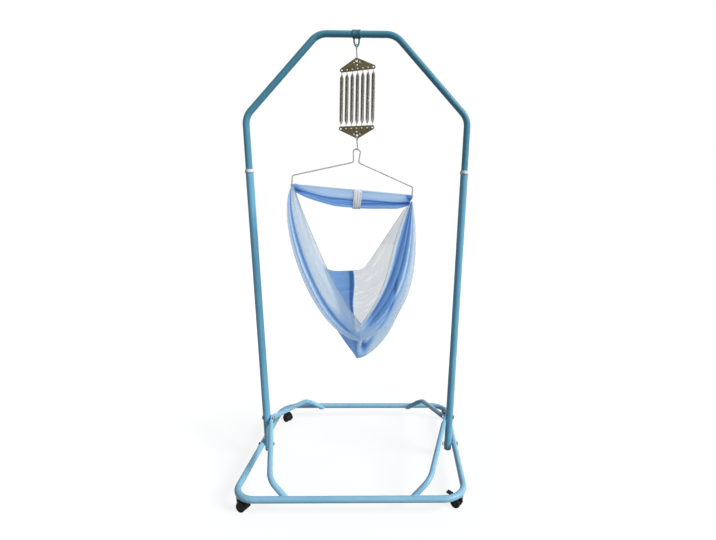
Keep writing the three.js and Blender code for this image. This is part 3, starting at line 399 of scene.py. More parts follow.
@dataclass(frozen=True)
class Growth:
    """A Geometry Nodes tree that is made once and grows every mesh of its kind."""

    name: str
    kinds: tuple[tuple[str, str], ...]

    def nodes(self, tree: Tree, given: Given) -> Node:
        """Adds the tree's own nodes and returns the last one, as each kind of growth does."""
        raise NotImplementedError

    def tree(self) -> Tree:
        """Finds the tree, or builds it on first use, ending in Realize Instances and Set Material.

        Returns:
            The tree.
        """
        made = bpy.data.node_groups.get(self.name)
        if made:
            return made
        made = bpy.data.node_groups.new(self.name, "GeometryNodeTree")
        kinds = (*self.kinds, ("Finish", "Material"))
        for name, kind in kinds:
            made.interface.new_socket(name, in_out="INPUT", socket_type=f"NodeSocket{kind}")
        made.interface.new_socket("Piece", in_out="OUTPUT", socket_type="NodeSocketGeometry")
        start = add_node(made, "NodeGroupInput")
        given = {name: start.outputs[name] for name, _ in kinds}
        real = add_node(made, "GeometryNodeRealizeInstances", {"Geometry": self.nodes(made, given)})
        smooth = add_node(made, "GeometryNodeSetShadeSmooth", {"Geometry": real, "Shade Smooth": True})
        inputs = {"Geometry": smooth, "Material": given["Finish"]}
        add_node(made, "NodeGroupOutput", {0: add_node(made, "GeometryNodeSetMaterial", inputs)})
        return made

    def grow(self, name: str, base: Mesh, values: dict[str, object]) -> Mesh:
        """Runs the tree on a mesh.

        Args:
            name: the result's name.
            base: the mesh that the tree starts from, which is used up.
            values: input name to value.

        Returns:
            The result as a plain mesh, with the modifier gone.
        """
        carrier = added(f"{name}_carrier", base)
        modifier = carrier.modifiers.new("Grow", "NODES")
        modifier.node_group = self.tree()
        for item in modifier.node_group.interface.items_tree:
            if item.in_out == "INPUT" and item.name in values:
                modifier[item.identifier] = values[item.name]
        mesh = plain_mesh(name, carrier)
        bpy.data.meshes.remove(base)
        return mesh


@dataclass(frozen=True)
class RodAlongPath(Growth):
    """A round rod or tube along a path, thinned where its taper says so."""

    def nodes(self, tree: Tree, given: Given) -> Node:
        """Sweeps a circle along the path.

        Args:
            tree: the tree.
            given: its inputs.

        Returns:
            The last node.
        """
        curve = add_node(tree, "GeometryNodeMeshToCurve", {"Mesh": given["Path"]})
        named = add_node(tree, "GeometryNodeInputNamedAttribute", {"Name": "taper"}, data_type="FLOAT")
        taper = named.outputs["Attribute"]
        thinned = add_node(tree, "GeometryNodeSetCurveRadius", {"Curve": curve, "Radius": taper})
        size = {"Resolution": given["Sides"], "Radius": given["Radius"]}
        ring = add_node(tree, "GeometryNodeCurvePrimitiveCircle", size)
        inputs = {"Curve": thinned, "Profile Curve": ring, "Fill Caps": True}
        tube = add_node(tree, "GeometryNodeCurveToMesh", inputs)
        if "Scale" in tube.inputs:
            tree.links.new(taper, tube.inputs["Scale"])
        return tube


@dataclass(frozen=True)
class StitchesAlongSeam(Growth):
    """Stitches at an even spacing along a seam's path."""

    stitch_share: float = 0.62

    def nodes(self, tree: Tree, given: Given) -> Node:
        """Lays a short thread at every point of the seam.

        Args:
            tree: the tree.
            given: its inputs.

        Returns:
            The last node.
        """
        curve = add_node(tree, "GeometryNodeMeshToCurve", {"Mesh": given["Seam"]})
        even = {"Curve": curve, "Length": given["Spacing"]}
        spots = add_node(tree, "GeometryNodeCurveToPoints", even, mode="LENGTH")
        share = {0: given["Spacing"], 1: self.stitch_share}
        length = add_node(tree, "ShaderNodeMath", share, operation="MULTIPLY")
        size = {"Vertices": 6, "Radius": given["Thread"], "Depth": length}
        stitch = add_node(tree, "GeometryNodeMeshCylinder", size)
        laid = {"Points": spots, "Instance": stitch, "Rotation": spots.outputs["Rotation"]}
        return add_node(tree, "GeometryNodeInstanceOnPoints", laid)


@dataclass(frozen=True)
class RibsRoundHub(Growth):
    """Equal ribs round the X axis, as on a moulded wheel's face."""

    def nodes(self, tree: Tree, given: Given) -> Node:
        """Draws the ring of ribs flat in XY and stands it up round the X axis at the carrier's points.

        Args:
            tree: the tree.
            given: its inputs.

        Returns:
            The last node.
        """
        size = {"Resolution": given["Count"], "Radius": given["Ring"]}
        ring = add_node(tree, "GeometryNodeCurvePrimitiveCircle", size)
        spots = add_node(tree, "GeometryNodeCurveToPoints", {"Curve": ring}, mode="EVALUATED")
        rib = add_node(tree, "GeometryNodeMeshCube", {"Size": given["Size"]})
        around = {"Points": spots, "Instance": rib, "Rotation": spots.outputs["Rotation"]}
        laid = add_node(tree, "GeometryNodeInstanceOnPoints", around)
        upright = {"Geometry": laid, "Rotation": (0.0, math.pi / 2, 0.0)}
        stood = add_node(tree, "GeometryNodeTransform", upright)
        return add_node(tree, "GeometryNodeInstanceOnPoints", {"Points": given["Centre"], "Instance": stood})


ROD = RodAlongPath("RodAlongPath", (("Path", "Geometry"), ("Radius", "Float"), ("Sides", "Int")))
STITCHES = StitchesAlongSeam(
    "StitchesAlongSeam", (("Seam", "Geometry"), ("Spacing", "Float"), ("Thread", "Float"))
)
RIBS = RibsRoundHub(
    "RibsRoundHub", (("Centre", "Geometry"), ("Ring", "Float"), ("Count", "Int"), ("Size", "Vector"))
)


# Mesh making


def added(name: str, data: bpy.types.ID) -> bpy.types.Object:
    """Adds an object to the scene.

    Args:
        name: its name.
        data: its mesh, curve, lamp or camera.

    Returns:
        The object.
    """
    made = bpy.data.objects.new(name, data)
    bpy.context.scene.collection.objects.link(made)
    return made


def plain_mesh(name: str, carrier: bpy.types.Object) -> Mesh:
    """Turns an object into a plain mesh and removes the object.

    Args:
        name: the mesh's name.
        carrier: the object, whose own data the caller removes.

    Returns:
        The mesh, with the object's modifiers in it.
    """
    graph = bpy.context.evaluated_depsgraph_get()
    mesh = bpy.data.meshes.new_from_object(carrier.evaluated_get(graph))
    mesh.name = name
    bpy.data.objects.remove(carrier)
    return mesh


def path_mesh(name: str, points: Route, tapers: Sequence[float] | None = None) -> Mesh:
    """Makes a mesh of edges along points.

    Args:
        name: the mesh's name.
        points: the points, in order.
        tapers: the share of the full radius at each point, or None for one everywhere.

    Returns:
        The mesh, with a "taper" value on its points.
    """
    mesh = bpy.data.meshes.new(name)
    mesh.from_pydata([tuple(p) for p in points], [(i, i + 1) for i in range(len(points) - 1)], [])
    taper = mesh.attributes.new("taper", "FLOAT", "POINT")
    taper.data.foreach_set("value", list(tapers or [1.0] * len(points)))
    return mesh


def rod(
    name: str,
    points: Route,
    radius: float,
    finish: Finish,
    sides: int = 24,
    tapers: Sequence[float] | None = None,
) -> Mesh:
    """Makes a round rod along points.

    Args:
        name: the mesh's name.
        points: its route.
        radius: its radius.
        finish: its finish.
        sides: the sides of its round.
        tapers: the share of the full radius at each point, or None for one everywhere.

    Returns:
        The mesh.
    """
    values = {"Radius": radius, "Sides": sides, "Finish": finish.material()}
    return ROD.grow(name, path_mesh(name, points, tapers), values)


def domed_rod(
    name: str, points: Route, radius: float, finish: Finish, sides: int = 20, steps: int = 4
) -> Mesh:
    """Makes a round rod whose two ends are domed.

    Args:
        name: the mesh's name.
        points: its route.
        radius: its radius, which is also the length of each dome.
        finish: its finish.
        sides: the sides of its round.
        steps: the steps in each dome.

    Returns:
        The mesh.
    """
    first = (points[1] - points[0]).normalized()
    last = (points[-2] - points[-1]).normalized()
    head = [points[0] + first * (radius * i / steps) for i in range(steps)]
    tail = [points[-1] + last * (radius * i / steps) for i in range(steps)]
    body = [points[0] + first * radius, *points[1:-1], points[-1] + last * radius]
    dome = [0.15] + [math.sqrt(1 - (1 - i / steps) ** 2) for i in range(1, steps)]
    tapers = dome + [1.0] * len(body) + dome[::-1]
    return rod(name, head + body + tail[::-1], radius, finish, sides, tapers)


def cleaned(mesh: Mesh, finish: Finish) -> Mesh:
    """Merges a closed mesh's doubles, turns its faces outwards and dresses it.

    Args:
        mesh: the mesh, which is changed.
        finish: its only finish.

    Returns:
        The same mesh.
    """
    work = bmesh.new()
    work.from_mesh(mesh)
    bmesh.ops.remove_doubles(work, verts=work.verts, dist=MERGE)
    bmesh.ops.recalc_face_normals(work, faces=work.faces)
    work.to_mesh(mesh)
    work.free()
    mesh.materials.clear()
    mesh.materials.append(finish.material())
    mesh.polygons.foreach_set("use_smooth", [True] * len(mesh.polygons))
    return mesh


def shape_mesh(name: str, shape: Shape, finish: Finish, place: Matrix = Matrix.Identity(4)) -> Mesh:
    """Turns points and faces into a mesh with outward faces.

    Args:
        name: the mesh's name.
        shape: its points and faces.
        finish: its finish.
        place: where it goes.

    Returns:
        The mesh.
    """
    points, faces = shape
    mesh = bpy.data.meshes.new(name)
    mesh.from_pydata([tuple(place @ p) for p in points], [], faces)
    return cleaned(mesh, finish)


def lathe(profile: Outline, segments: int = 48) -> Shape:
    """Turns a profile about the Z axis.

    Args:
        profile: radius and height pairs. It starts and ends on the axis, or closes on itself.
        segments: the number of steps round.

    Returns:
        The closed shape.
    """
    points: list[Vector] = []
    rows: list[list[int]] = []
    for radius, height in profile:
        count = segments if radius > 0 else 1
        rows.append([len(points) + i for i in range(count)])
        for i in range(count):
            angle = 2 * math.pi * i / segments
            points.append(Vector((radius * math.cos(angle), radius * math.sin(angle), height)))
    faces: list[tuple[int, ...]] = []
    for low, high in zip(rows, rows[1:]):
        for i in range(segments):
            here, ahead = i, (i + 1) % segments
            corners = (
                low[here % len(low)], low[ahead % len(low)], high[ahead % len(high)], high[here % len(high)]
            )
            unique = tuple(dict.fromkeys(corners))
            if len(unique) > 2:
                faces.append(unique)
    return points, faces


def lofted(rings: Sequence[Route]) -> Shape:
    """Closes a surface through rings, with a cap at each end.

    Args:
        rings: the rings, each with the same number of points.

    Returns:
        The closed shape.
    """
    count = len(rings[0])
    points = [p for ring in rings for p in ring]
    faces: list[tuple[int, ...]] = [tuple(range(count)), tuple(range(len(points) - count, len(points)))]
    for low in range(0, len(points) - count, count):
        for i in range(count):
            ahead = (i + 1) % count
            faces.append((low + i, low + ahead, low + count + ahead, low + count + i))
    return points, faces


def arc_route(points: Route, radii: Sequence[float], steps: int = 8) -> list[Vector]:
    """Rounds a polyline's inner corners.

    Args:
        points: the polyline.
        radii: the bend radius of each inner corner, cut down where the sides are short.
        steps: steps in each bend.

    Returns:
        The rounded route.
    """
    route = [points[0].copy()]
    for i, wanted in enumerate(radii, start=1):
        back = points[i - 1] - points[i]
        ahead = points[i + 1] - points[i]
        room = min(back.length, ahead.length) * BEND_ROOM
        back.normalize()
        ahead.normalize()
        half = back.angle(ahead) / 2
        if half > math.pi / 2 - 0.01:
            route.append(points[i].copy())
            continue
        reach = min(wanted / math.tan(half), room)
        radius = reach * math.tan(half)
        centre = points[i] + (back + ahead).normalized() * (radius / math.sin(half))
        start = points[i] + back * reach - centre
        end = points[i] + ahead * reach - centre
        sweep = start.angle(end)
        for k in range(steps + 1):
            near = math.sin((1 - k / steps) * sweep) / math.sin(sweep)
            far = math.sin(k / steps * sweep) / math.sin(sweep)
            route.append(centre + start * near + end * far)
    route.append(points[-1].copy())
    return route


def circle(x: float, y: float, radius: float, steps: int = 24) -> list[Pair]:
    """Draws a circle in a plate's plane.

    Args:
        x: its centre's first coordinate.
        y: its centre's second coordinate.
        radius: its radius.
        steps: the number of points.

    Returns:
        The points, in order.
    """
    turns = [2 * math.pi * i / steps for i in range(steps)]
    return [(x + radius * math.cos(a), y + radius * math.sin(a)) for a in turns]


def flat_plate(
    outline: Outline,
    thickness: float,
    bevel: float,
    finish: Finish,
    place: Matrix,
    holes: Sequence[Outline] = (),
) -> Mesh:
    """Makes a flat part with rounded edges and through holes.

    Args:
        outline: the outer edge, in the plate's own plane.
        thickness: its thickness.
        bevel: the radius of its rounded edges.
        finish: its finish.
        place: the matrix from its plane, with Z as its normal, to the object.
        holes: the edges of its holes.

    Returns:
        The mesh.
    """
    curve = bpy.data.curves.new("plate", "CURVE")
    curve.dimensions = "2D"
    curve.fill_mode = "BOTH"
    curve.extrude = max(thickness / 2 - bevel, 0.0)
    curve.bevel_depth = bevel
    curve.bevel_resolution = 2
    curve.offset = -bevel
    for loop in (outline, *holes):
        spline = curve.splines.new("POLY")
        spline.points.add(len(loop) - 1)
        spline.points.foreach_set("co", [c for x, y in loop for c in (x, y, 0.0, 1.0)])
        spline.use_cyclic_u = True
    carrier = added("plate", curve)
    mesh = cleaned(plain_mesh("plate", carrier), finish)
    bpy.data.curves.remove(curve)
    mesh.transform(place)
    return mesh


def along_x(centre: Vector, side: int) -> Matrix:
    """The place of a turned piece whose axis points outward along X."""
    return Matrix.Translation(centre) @ Matrix.Rotation(side * math.pi / 2, 4, "Y")


def piece(
    name: str, meshes: Sequence[Mesh], body: str | None, slot: str, *nodes: str, smooth: float = 40
) -> bpy.types.Object:
    """Joins meshes in millimetres into one finished piece and hands it to the frame.

    Args:
        name: the piece's name.
        meshes: its meshes, each with its own material, which are used up.
        body: the body it rides on, or None to leave it on no body.
        slot: a material slot name for it; it is not used.
        nodes: the frame's nodes that it stands for.
        smooth: the least angle in degrees between faces that shows as an edge.

    Returns:
        The piece's object.
    """
    work = bmesh.new()
    materials: list[bpy.types.Material] = []
    for mesh in meshes:
        materials += [m for m in mesh.materials if m not in materials]
        shift = [materials.index(m) for m in mesh.materials]
        count = len(work.faces)
        work.from_mesh(mesh)
        work.faces.ensure_lookup_table()
        for face in work.faces[count:]:
            face.material_index = shift[min(face.material_index, len(shift) - 1)]
        bpy.data.meshes.remove(mesh)
    joined = bpy.data.meshes.new(name)
    bmesh.ops.transform(work, matrix=Matrix.Scale(MM, 4), verts=work.verts)
    work.to_mesh(joined)
    work.free()
    for material in materials:
        joined.materials.append(material)
    joined.set_sharp_from_angle(angle=math.radians(smooth))
    made = added(name, joined)
    if body:
        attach(made, body)
    if nodes:
        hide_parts(*nodes)
    LOG.info("%s: %d faces on %s", name, len(joined.polygons), body)
    return made


def weld_bead(
    name: str, seam: Route, radius: float, finish: Finish, sides: int, lump: float, pace: float
) -> Mesh:
    """Lays a lumpy bead of weld along a seam.

    Args:
        name: the mesh's name.
        seam: its route.
        radius: its radius.
        finish: its finish.
        sides: the sides of its round.
        lump: how far the lumps stand out, as a share of the radius.
        pace: how fast they follow each other.

    Returns:
        The mesh.
    """
    lumps = [1.0 + lump * math.sin(pace * i) for i in range(len(seam))]
    return rod(name, seam, radius, finish, sides, lumps)


# The tube stand


@dataclass
class Stand:
    """The bent arch, its uprights and splices, the base ring in two halves, the braces and their bolts."""

    arch_radius: float = 12.7
    ring_radius: float = 11.1
    wall: float = 1.4
    splice_room: float = 0.4
    foot_half_width: float = 364.5
    foot_height: float = 36.0
    shoulder: Pair = (422.0, 1360.0)
    bar_half: float = 144.6
    bar_height: float = 1666.0
    arch_bend: float = 75.0
    splice_height: float = 1154.0
    splice_length: float = 150.0
    tube_lip: float = 0.5
    collar_room: float = 0.35
    collar_wall: float = 1.8
    collar_edge: float = 0.6
    plug_room: float = 0.5
    ring_height: float = 56.0
    ring_half_depth: float = 345.0
    ring_corner: float = 78.0
    ring_joint: float = 32.0
    swage_steps: tuple[float, ...] = (0.0, 1.2, 5.0, 9.0)
    front_swage: tuple[float, ...] = (0.95, 0.975, 0.985, 1.0)
    rear_swage: tuple[float, ...] = (0.93, 0.95, 0.965, 1.0)
    brace_radius: float = 9.5
    brace_bolt_height: float = 169.0
    brace_elbow: tuple[float, float, float] = (273.0, 306.0, 100.0)
    brace_foot: float = 207.0
    brace_foot_drop: float = 5.0
    brace_foot_inset: float = 7.0
    brace_bend: float = 70.0
    brace_sides: int = 24
    press_start: float = 12.0
    press_length: float = 34.0
    press_steps: tuple[float, ...] = (3, 8, 14, 20, 25, 30, 35, 40, 46)
    eye_angles: tuple[float, ...] = (6, 25, 45, 65, 90)
    eye_thickness: float = 3.6
    eye_half_width: float = 11.0
    bolt_tail: float = 8.0
    thread_count: int = 12
    thread_pitch: float = 0.85
    thread_root: float = 0.42
    thread_start: float = 10.6
    nut_half_width: float = 6.5
    nut_height: float = 6.5
    gap: float = 0.3
    tube_sides: int = 40
    body: str = "stand"

    @property
    def lean(self) -> float:
        """How far the uprights spread for each millimetre of height."""
        return (self.shoulder[0] - self.foot_half_width) / (self.shoulder[1] - self.foot_height)

    @property
    def upright_radius(self) -> float:
        """The uprights' outer radius."""
        return self.arch_radius + self.splice_room + self.wall

    @property
    def ring_half_width(self) -> float:
        """Half the width of the base ring, which passes outside the uprights."""
        return self.across(self.ring_height) + self.upright_radius + self.gap + self.ring_radius

    def across(self, height: float) -> float:
        """The distance of an upright's axis from the middle at a height."""
        return self.foot_half_width + self.lean * (height - self.foot_height)

    def arch(self) -> None:
        """Bends the arch from one tube, from splice to splice."""
        foot = self.splice_height - self.splice_length
        half = [(self.across(foot), foot), self.shoulder, (self.bar_half, self.bar_height)]
        route = [Vector((-x, 0, z)) for x, z in half] + [Vector((x, 0, z)) for x, z in reversed(half)]
        bent = arc_route(route, [self.arch_bend] * 4, 16)
        tube = rod("arch", bent, self.arch_radius, ARCH_SHADED_PAINT, self.tube_sides)
        piece("arch", [tube], self.body, "teal_paint", "arch_tube")

    def turned(
        self, side: Side, name: str, node: str, height: float, profile: Outline, finish: Finish, slot: str
    ) -> None:
        """Makes a piece that is turned round an upright's axis.

        Args:
            side: the upright's side.
            name: the piece's name, without its side.
            node: the node that it stands for, without its side.
            height: the height that its profile starts from.
            profile: its profile.
            finish: its finish.
            slot: the material slot's name.
        """
        turn = Matrix.Rotation(side.value * math.atan(self.lean), 4, "Y")
        place = Matrix.Translation((side.value * self.across(height), 0, height)) @ turn
        mesh = shape_mesh(name, lathe(profile), finish, place)
        piece(f"{side.label}_{name}", [mesh], self.body, slot, f"{side.label}_{node}")

    def upright(self, side: Side) -> None:
        """Makes one upright as a real tube, the white stepped collar at its top and the plug in its foot.

        Args:
            side: the upright's side.
        """
        length = (self.splice_height - self.foot_height) / math.cos(math.atan(self.lean))
        outer, lip = self.upright_radius, self.tube_lip
        inner = outer - self.wall
        foot = [(inner, lip), (inner + lip, 0.0), (outer - lip, 0.0), (outer, lip)]
        top = [(r, length - h) for r, h in reversed(foot)]
        profile = [*foot, *top, foot[0]]
        self.turned(side, "side_tube", "upright", self.foot_height, profile, UPRIGHT_SHADED_PAINT, "blue_paint")

        skirt, bore = outer + self.collar_room, self.arch_radius + self.collar_room
        brim, sleeve = skirt + self.collar_wall, bore + self.collar_wall
        lower = [(skirt, -4.0), (brim, -4.0), (brim + 0.5, -3.0), (brim + 0.5, 0.6), (sleeve + 0.9, 4.4)]
        profile = lower + [(sleeve, 9.0), (bore, 9.0), (bore, 0.4), (skirt, 0.4), (skirt, -4.0)]
        corners = [Vector((r, h, 0)) for r, h in profile]
        soft = [(p.x, p.y) for p in arc_route(corners, [self.collar_edge] * (len(corners) - 2), 2)]
        self.turned(side, "splice_collar", "ferrule", self.splice_height, soft, WHITE_NYLON, "white_plastic")

        shaft = self.arch_radius - self.plug_room
        domed = [(0.0, -3.0), (9.5, -3.0), (13.2, -2.2), (outer, -1.2), (outer, -0.3)]
        profile = domed + [(shaft, -0.3), (shaft, 15.2), (0.0, 15.2)]
        self.turned(side, "foot_cap", "foot_plug", self.foot_height, profile, BLUE_PLUG, "blue_plastic")

    def base(self, end: End) -> None:
        """Bends one U of the base ring. The rear one is necked to slide into the front one.

        Args:
            end: the end of the base.
        """
        free = self.ring_joint + (self.gap if end is End.REAR else 0.0)
        x, y, z = self.ring_half_width, end.value * self.ring_half_depth, self.ring_height
        corners = [Vector(c) for c in ((-x, free, z), (-x, y, z), (x, y, z), (x, free, z))]
        route = arc_route(corners, [self.ring_corner] * 2, 16)[1:-1]
        thin = self.front_swage if end is End.FRONT else self.rear_swage
        steps = [Vector((0, end.value * s, 0)) for s in self.swage_steps]
        points = [corners[0] + s for s in steps] + route + [corners[3] + s for s in reversed(steps)]
        tapers = [*thin, *[1.0] * len(route), *reversed(thin)]
        meshes = [rod("base", points, self.ring_radius, SKY_PAINT, self.tube_sides, tapers)]
        if end is End.REAR:
            for side in Side:
                ends = ((side.value * x, free + 12, z), (side.value * x, -self.ring_joint, z))
                bore = self.ring_radius - self.wall - self.splice_room
                meshes.append(rod("spigot", [Vector(p) for p in ends], bore, ZINC))
        piece(f"{end.label}_base_hoop", meshes, self.body, "blue_paint", f"{end.label}_base_tube")

    def eye_across(self, end: End) -> float:
        """Finds the place across of a brace's flat eye: rear eyes lie on the front ones.

        Args:
            end: the end that the brace goes to.

        Returns:
            The distance of the eye's middle from the middle of the stand.
        """
        flush = self.across(self.brace_bolt_height - self.eye_half_width) - self.upright_radius
        front = flush - self.gap - self.eye_thickness / 2
        return front if end is End.FRONT else front - self.eye_thickness - self.gap

    def brace_ring(self, centre: Vector, along: Vector, reach: float) -> list[Vector]:
        """Draws one section of a brace: round along its length, and pressed flat towards its eye.

        Args:
            centre: the section's middle.
            along: the brace's direction there.
            reach: the distance from the bolt, less than zero past it.

        Returns:
            The section's points.
        """
        flat = (Vector((1, 0, 0)) - along * along.x).normalized()
        tall = along.cross(flat).normalized()
        pressed = 1 - min(max((reach - self.press_start) / self.press_length, 0), 1)
        pressed = pressed * pressed * (3 - 2 * pressed)
        half_flat = self.brace_radius + (self.eye_thickness / 2 - self.brace_radius) * pressed
        half_tall = self.brace_radius + (self.eye_half_width - self.brace_radius) * pressed
        if reach < 0:
            half_tall *= math.sqrt(max(1 - (reach / self.eye_half_width) ** 2, 0.01))
        ring = []
        for c, s in circle(0, 0, 1, self.brace_sides):
            u = half_flat * math.copysign(abs(c) ** (1 - 0.6 * pressed), c)
            v = half_tall * math.copysign(abs(s) ** (1 - 0.2 * pressed), s)
            ring.append(centre + flat * u + tall * v)
        return ring

    def brace(self, side: Side, end: End) -> None:
        """Makes one brace: a tube pressed flat into an eye at its bolt, bent, and welded to the base bar.

        Args:
            side: its side.
            end: the end that it goes to.
        """
        eye = Vector((side.value * self.eye_across(end), 0, self.brace_bolt_height))
        across, depth, height = self.brace_elbow
        elbow = Vector((side.value * across, end.value * depth, height))
        foot_depth = end.value * (self.ring_half_depth - self.brace_foot_inset)
        foot = Vector((side.value * self.brace_foot, foot_depth, self.ring_height - self.brace_foot_drop))
        away = (elbow - eye).normalized()
        press = [eye + away * s for s in self.press_steps]
        domes = [eye - away * (self.eye_half_width * math.cos(math.radians(t))) for t in self.eye_angles]
        route = domes + press + arc_route([press[-1], elbow, foot], [self.brace_bend], 12)[1:]
        rings = []
        for i, centre in enumerate(route):
            ahead = route[min(i + 1, len(route) - 1)] - route[max(i - 1, 0)]
            rings.append(self.brace_ring(centre, ahead.normalized(), (centre - eye).dot(away)))
        along = (route[-1] - route[-2]).normalized()
        bar = Vector((0, end.value * self.ring_half_depth, self.ring_height))
        mouth = [self.to_bar(p - along * 30, along, bar) for p in rings[-1]]
        rings = [ring for ring in rings[:-1] if (ring[0] - mouth[0]).dot(along) < -6] + [mouth]
        tube = shape_mesh("brace", lofted(rings), SKY_PAINT)
        bead = weld_bead("weld", mouth + mouth[:1], 2.1, SKY_PAINT, 10, 0.16, 2.3)
        name = f"{end.label}_{side.label}_brace"
        piece(f"{name}_tube", [tube, bead], self.body, "blue_paint", name, smooth=50)

    def to_bar(self, start: Vector, along: Vector, bar: Vector) -> Vector:
        """Follows a line until it meets the surface of a base bar that runs along X.

        Args:
            start: a point before the bar.
            along: the line's direction.
            bar: a point on the bar's axis.

        Returns:
            The first point on the bar's surface, or the nearest point to its axis where the line misses it.
        """
        gap = start - bar
        a = along.y**2 + along.z**2
        b = gap.y * along.y + gap.z * along.z
        c = gap.y**2 + gap.z**2 - self.ring_radius**2
        return start + along * ((-b - math.sqrt(max(b * b - a * c, 0.0))) / a)

    def bolted(self, side: Side, name: str, height: float, head: float, face: float) -> None:
        """Sets one domed bolt, with its head on the outer side, and the chamfered nut on its inner end.

        Args:
            side: its side.
            name: what it holds.
            height: its height.
            head: the distance of its head's underside from the middle.
            face: the distance of the nut's outer face from the middle.
        """
        label = f"{side.label}_{name}"
        length = head - face + self.bolt_tail
        profile = [(0.0, -3.6), (3.0, -3.55), (5.4, -3.0), (7.2, -1.9), (8.0, -0.7), (8.0, 0.0), (4.0, 0.0)]
        for i in range(self.thread_count):
            crest = length - self.thread_start + i * self.thread_pitch
            profile += [(3.9, crest), (3.5, crest + self.thread_root)]
        profile += [(3.2, length), (0.0, length)]
        place = along_x(Vector((side.value * head, 0, height)), -side.value)
        bolt = shape_mesh("bolt", lathe(profile, 32), DARK_BOLT, place)
        piece(f"{label}_bolt_turned", [bolt], self.body, "zinc_steel", f"{label}_bolt")
        corner = self.nut_half_width / math.cos(math.pi / 6)
        angles = [math.radians(a) for a in range(30, 390, 60)]
        hexagon = [(corner * math.cos(a), corner * math.sin(a)) for a in angles]
        place = along_x(Vector((side.value * (face - self.nut_height / 2), 0, height)), side.value)
        nut = flat_plate(hexagon, self.nut_height, 0.7, ZINC, place, [circle(0, 0, 4.3, 20)])
        piece(f"{label}_nut_chamfered", [nut], self.body, "zinc_steel", f"{label}_nut", smooth=25)

    def fasteners(self, side: Side) -> None:
        """Sets the bolts and nuts of one side: through the brace eyes, and through the upright's foot.

        Args:
            side: the side.
        """
        eyes = self.eye_across(End.REAR) - self.eye_thickness / 2 - self.gap
        brace_head = self.across(self.brace_bolt_height) + self.upright_radius + self.splice_room
        foot = self.across(self.ring_height) - self.upright_radius - self.splice_room
        base_head = self.ring_half_width + self.ring_radius + self.gap
        self.bolted(side, "brace", self.brace_bolt_height, brace_head, eyes)
        self.bolted(side, "base", self.ring_height, base_head, foot)

    def build(self) -> None:
        """Builds the whole stand."""
        self.arch()
        for end in End:
            self.base(end)
        for side in Side:
            self.upright(side)
            self.fasteners(side)
            for end in End:
                self.brace(side, end)


REST_TURNS = {
    (End.FRONT, Side.LEFT): 245.0,
    (End.FRONT, Side.RIGHT): 55.0,
    (End.REAR, Side.LEFT): -130.0,
    (End.REAR, Side.RIGHT): -75.0,
}


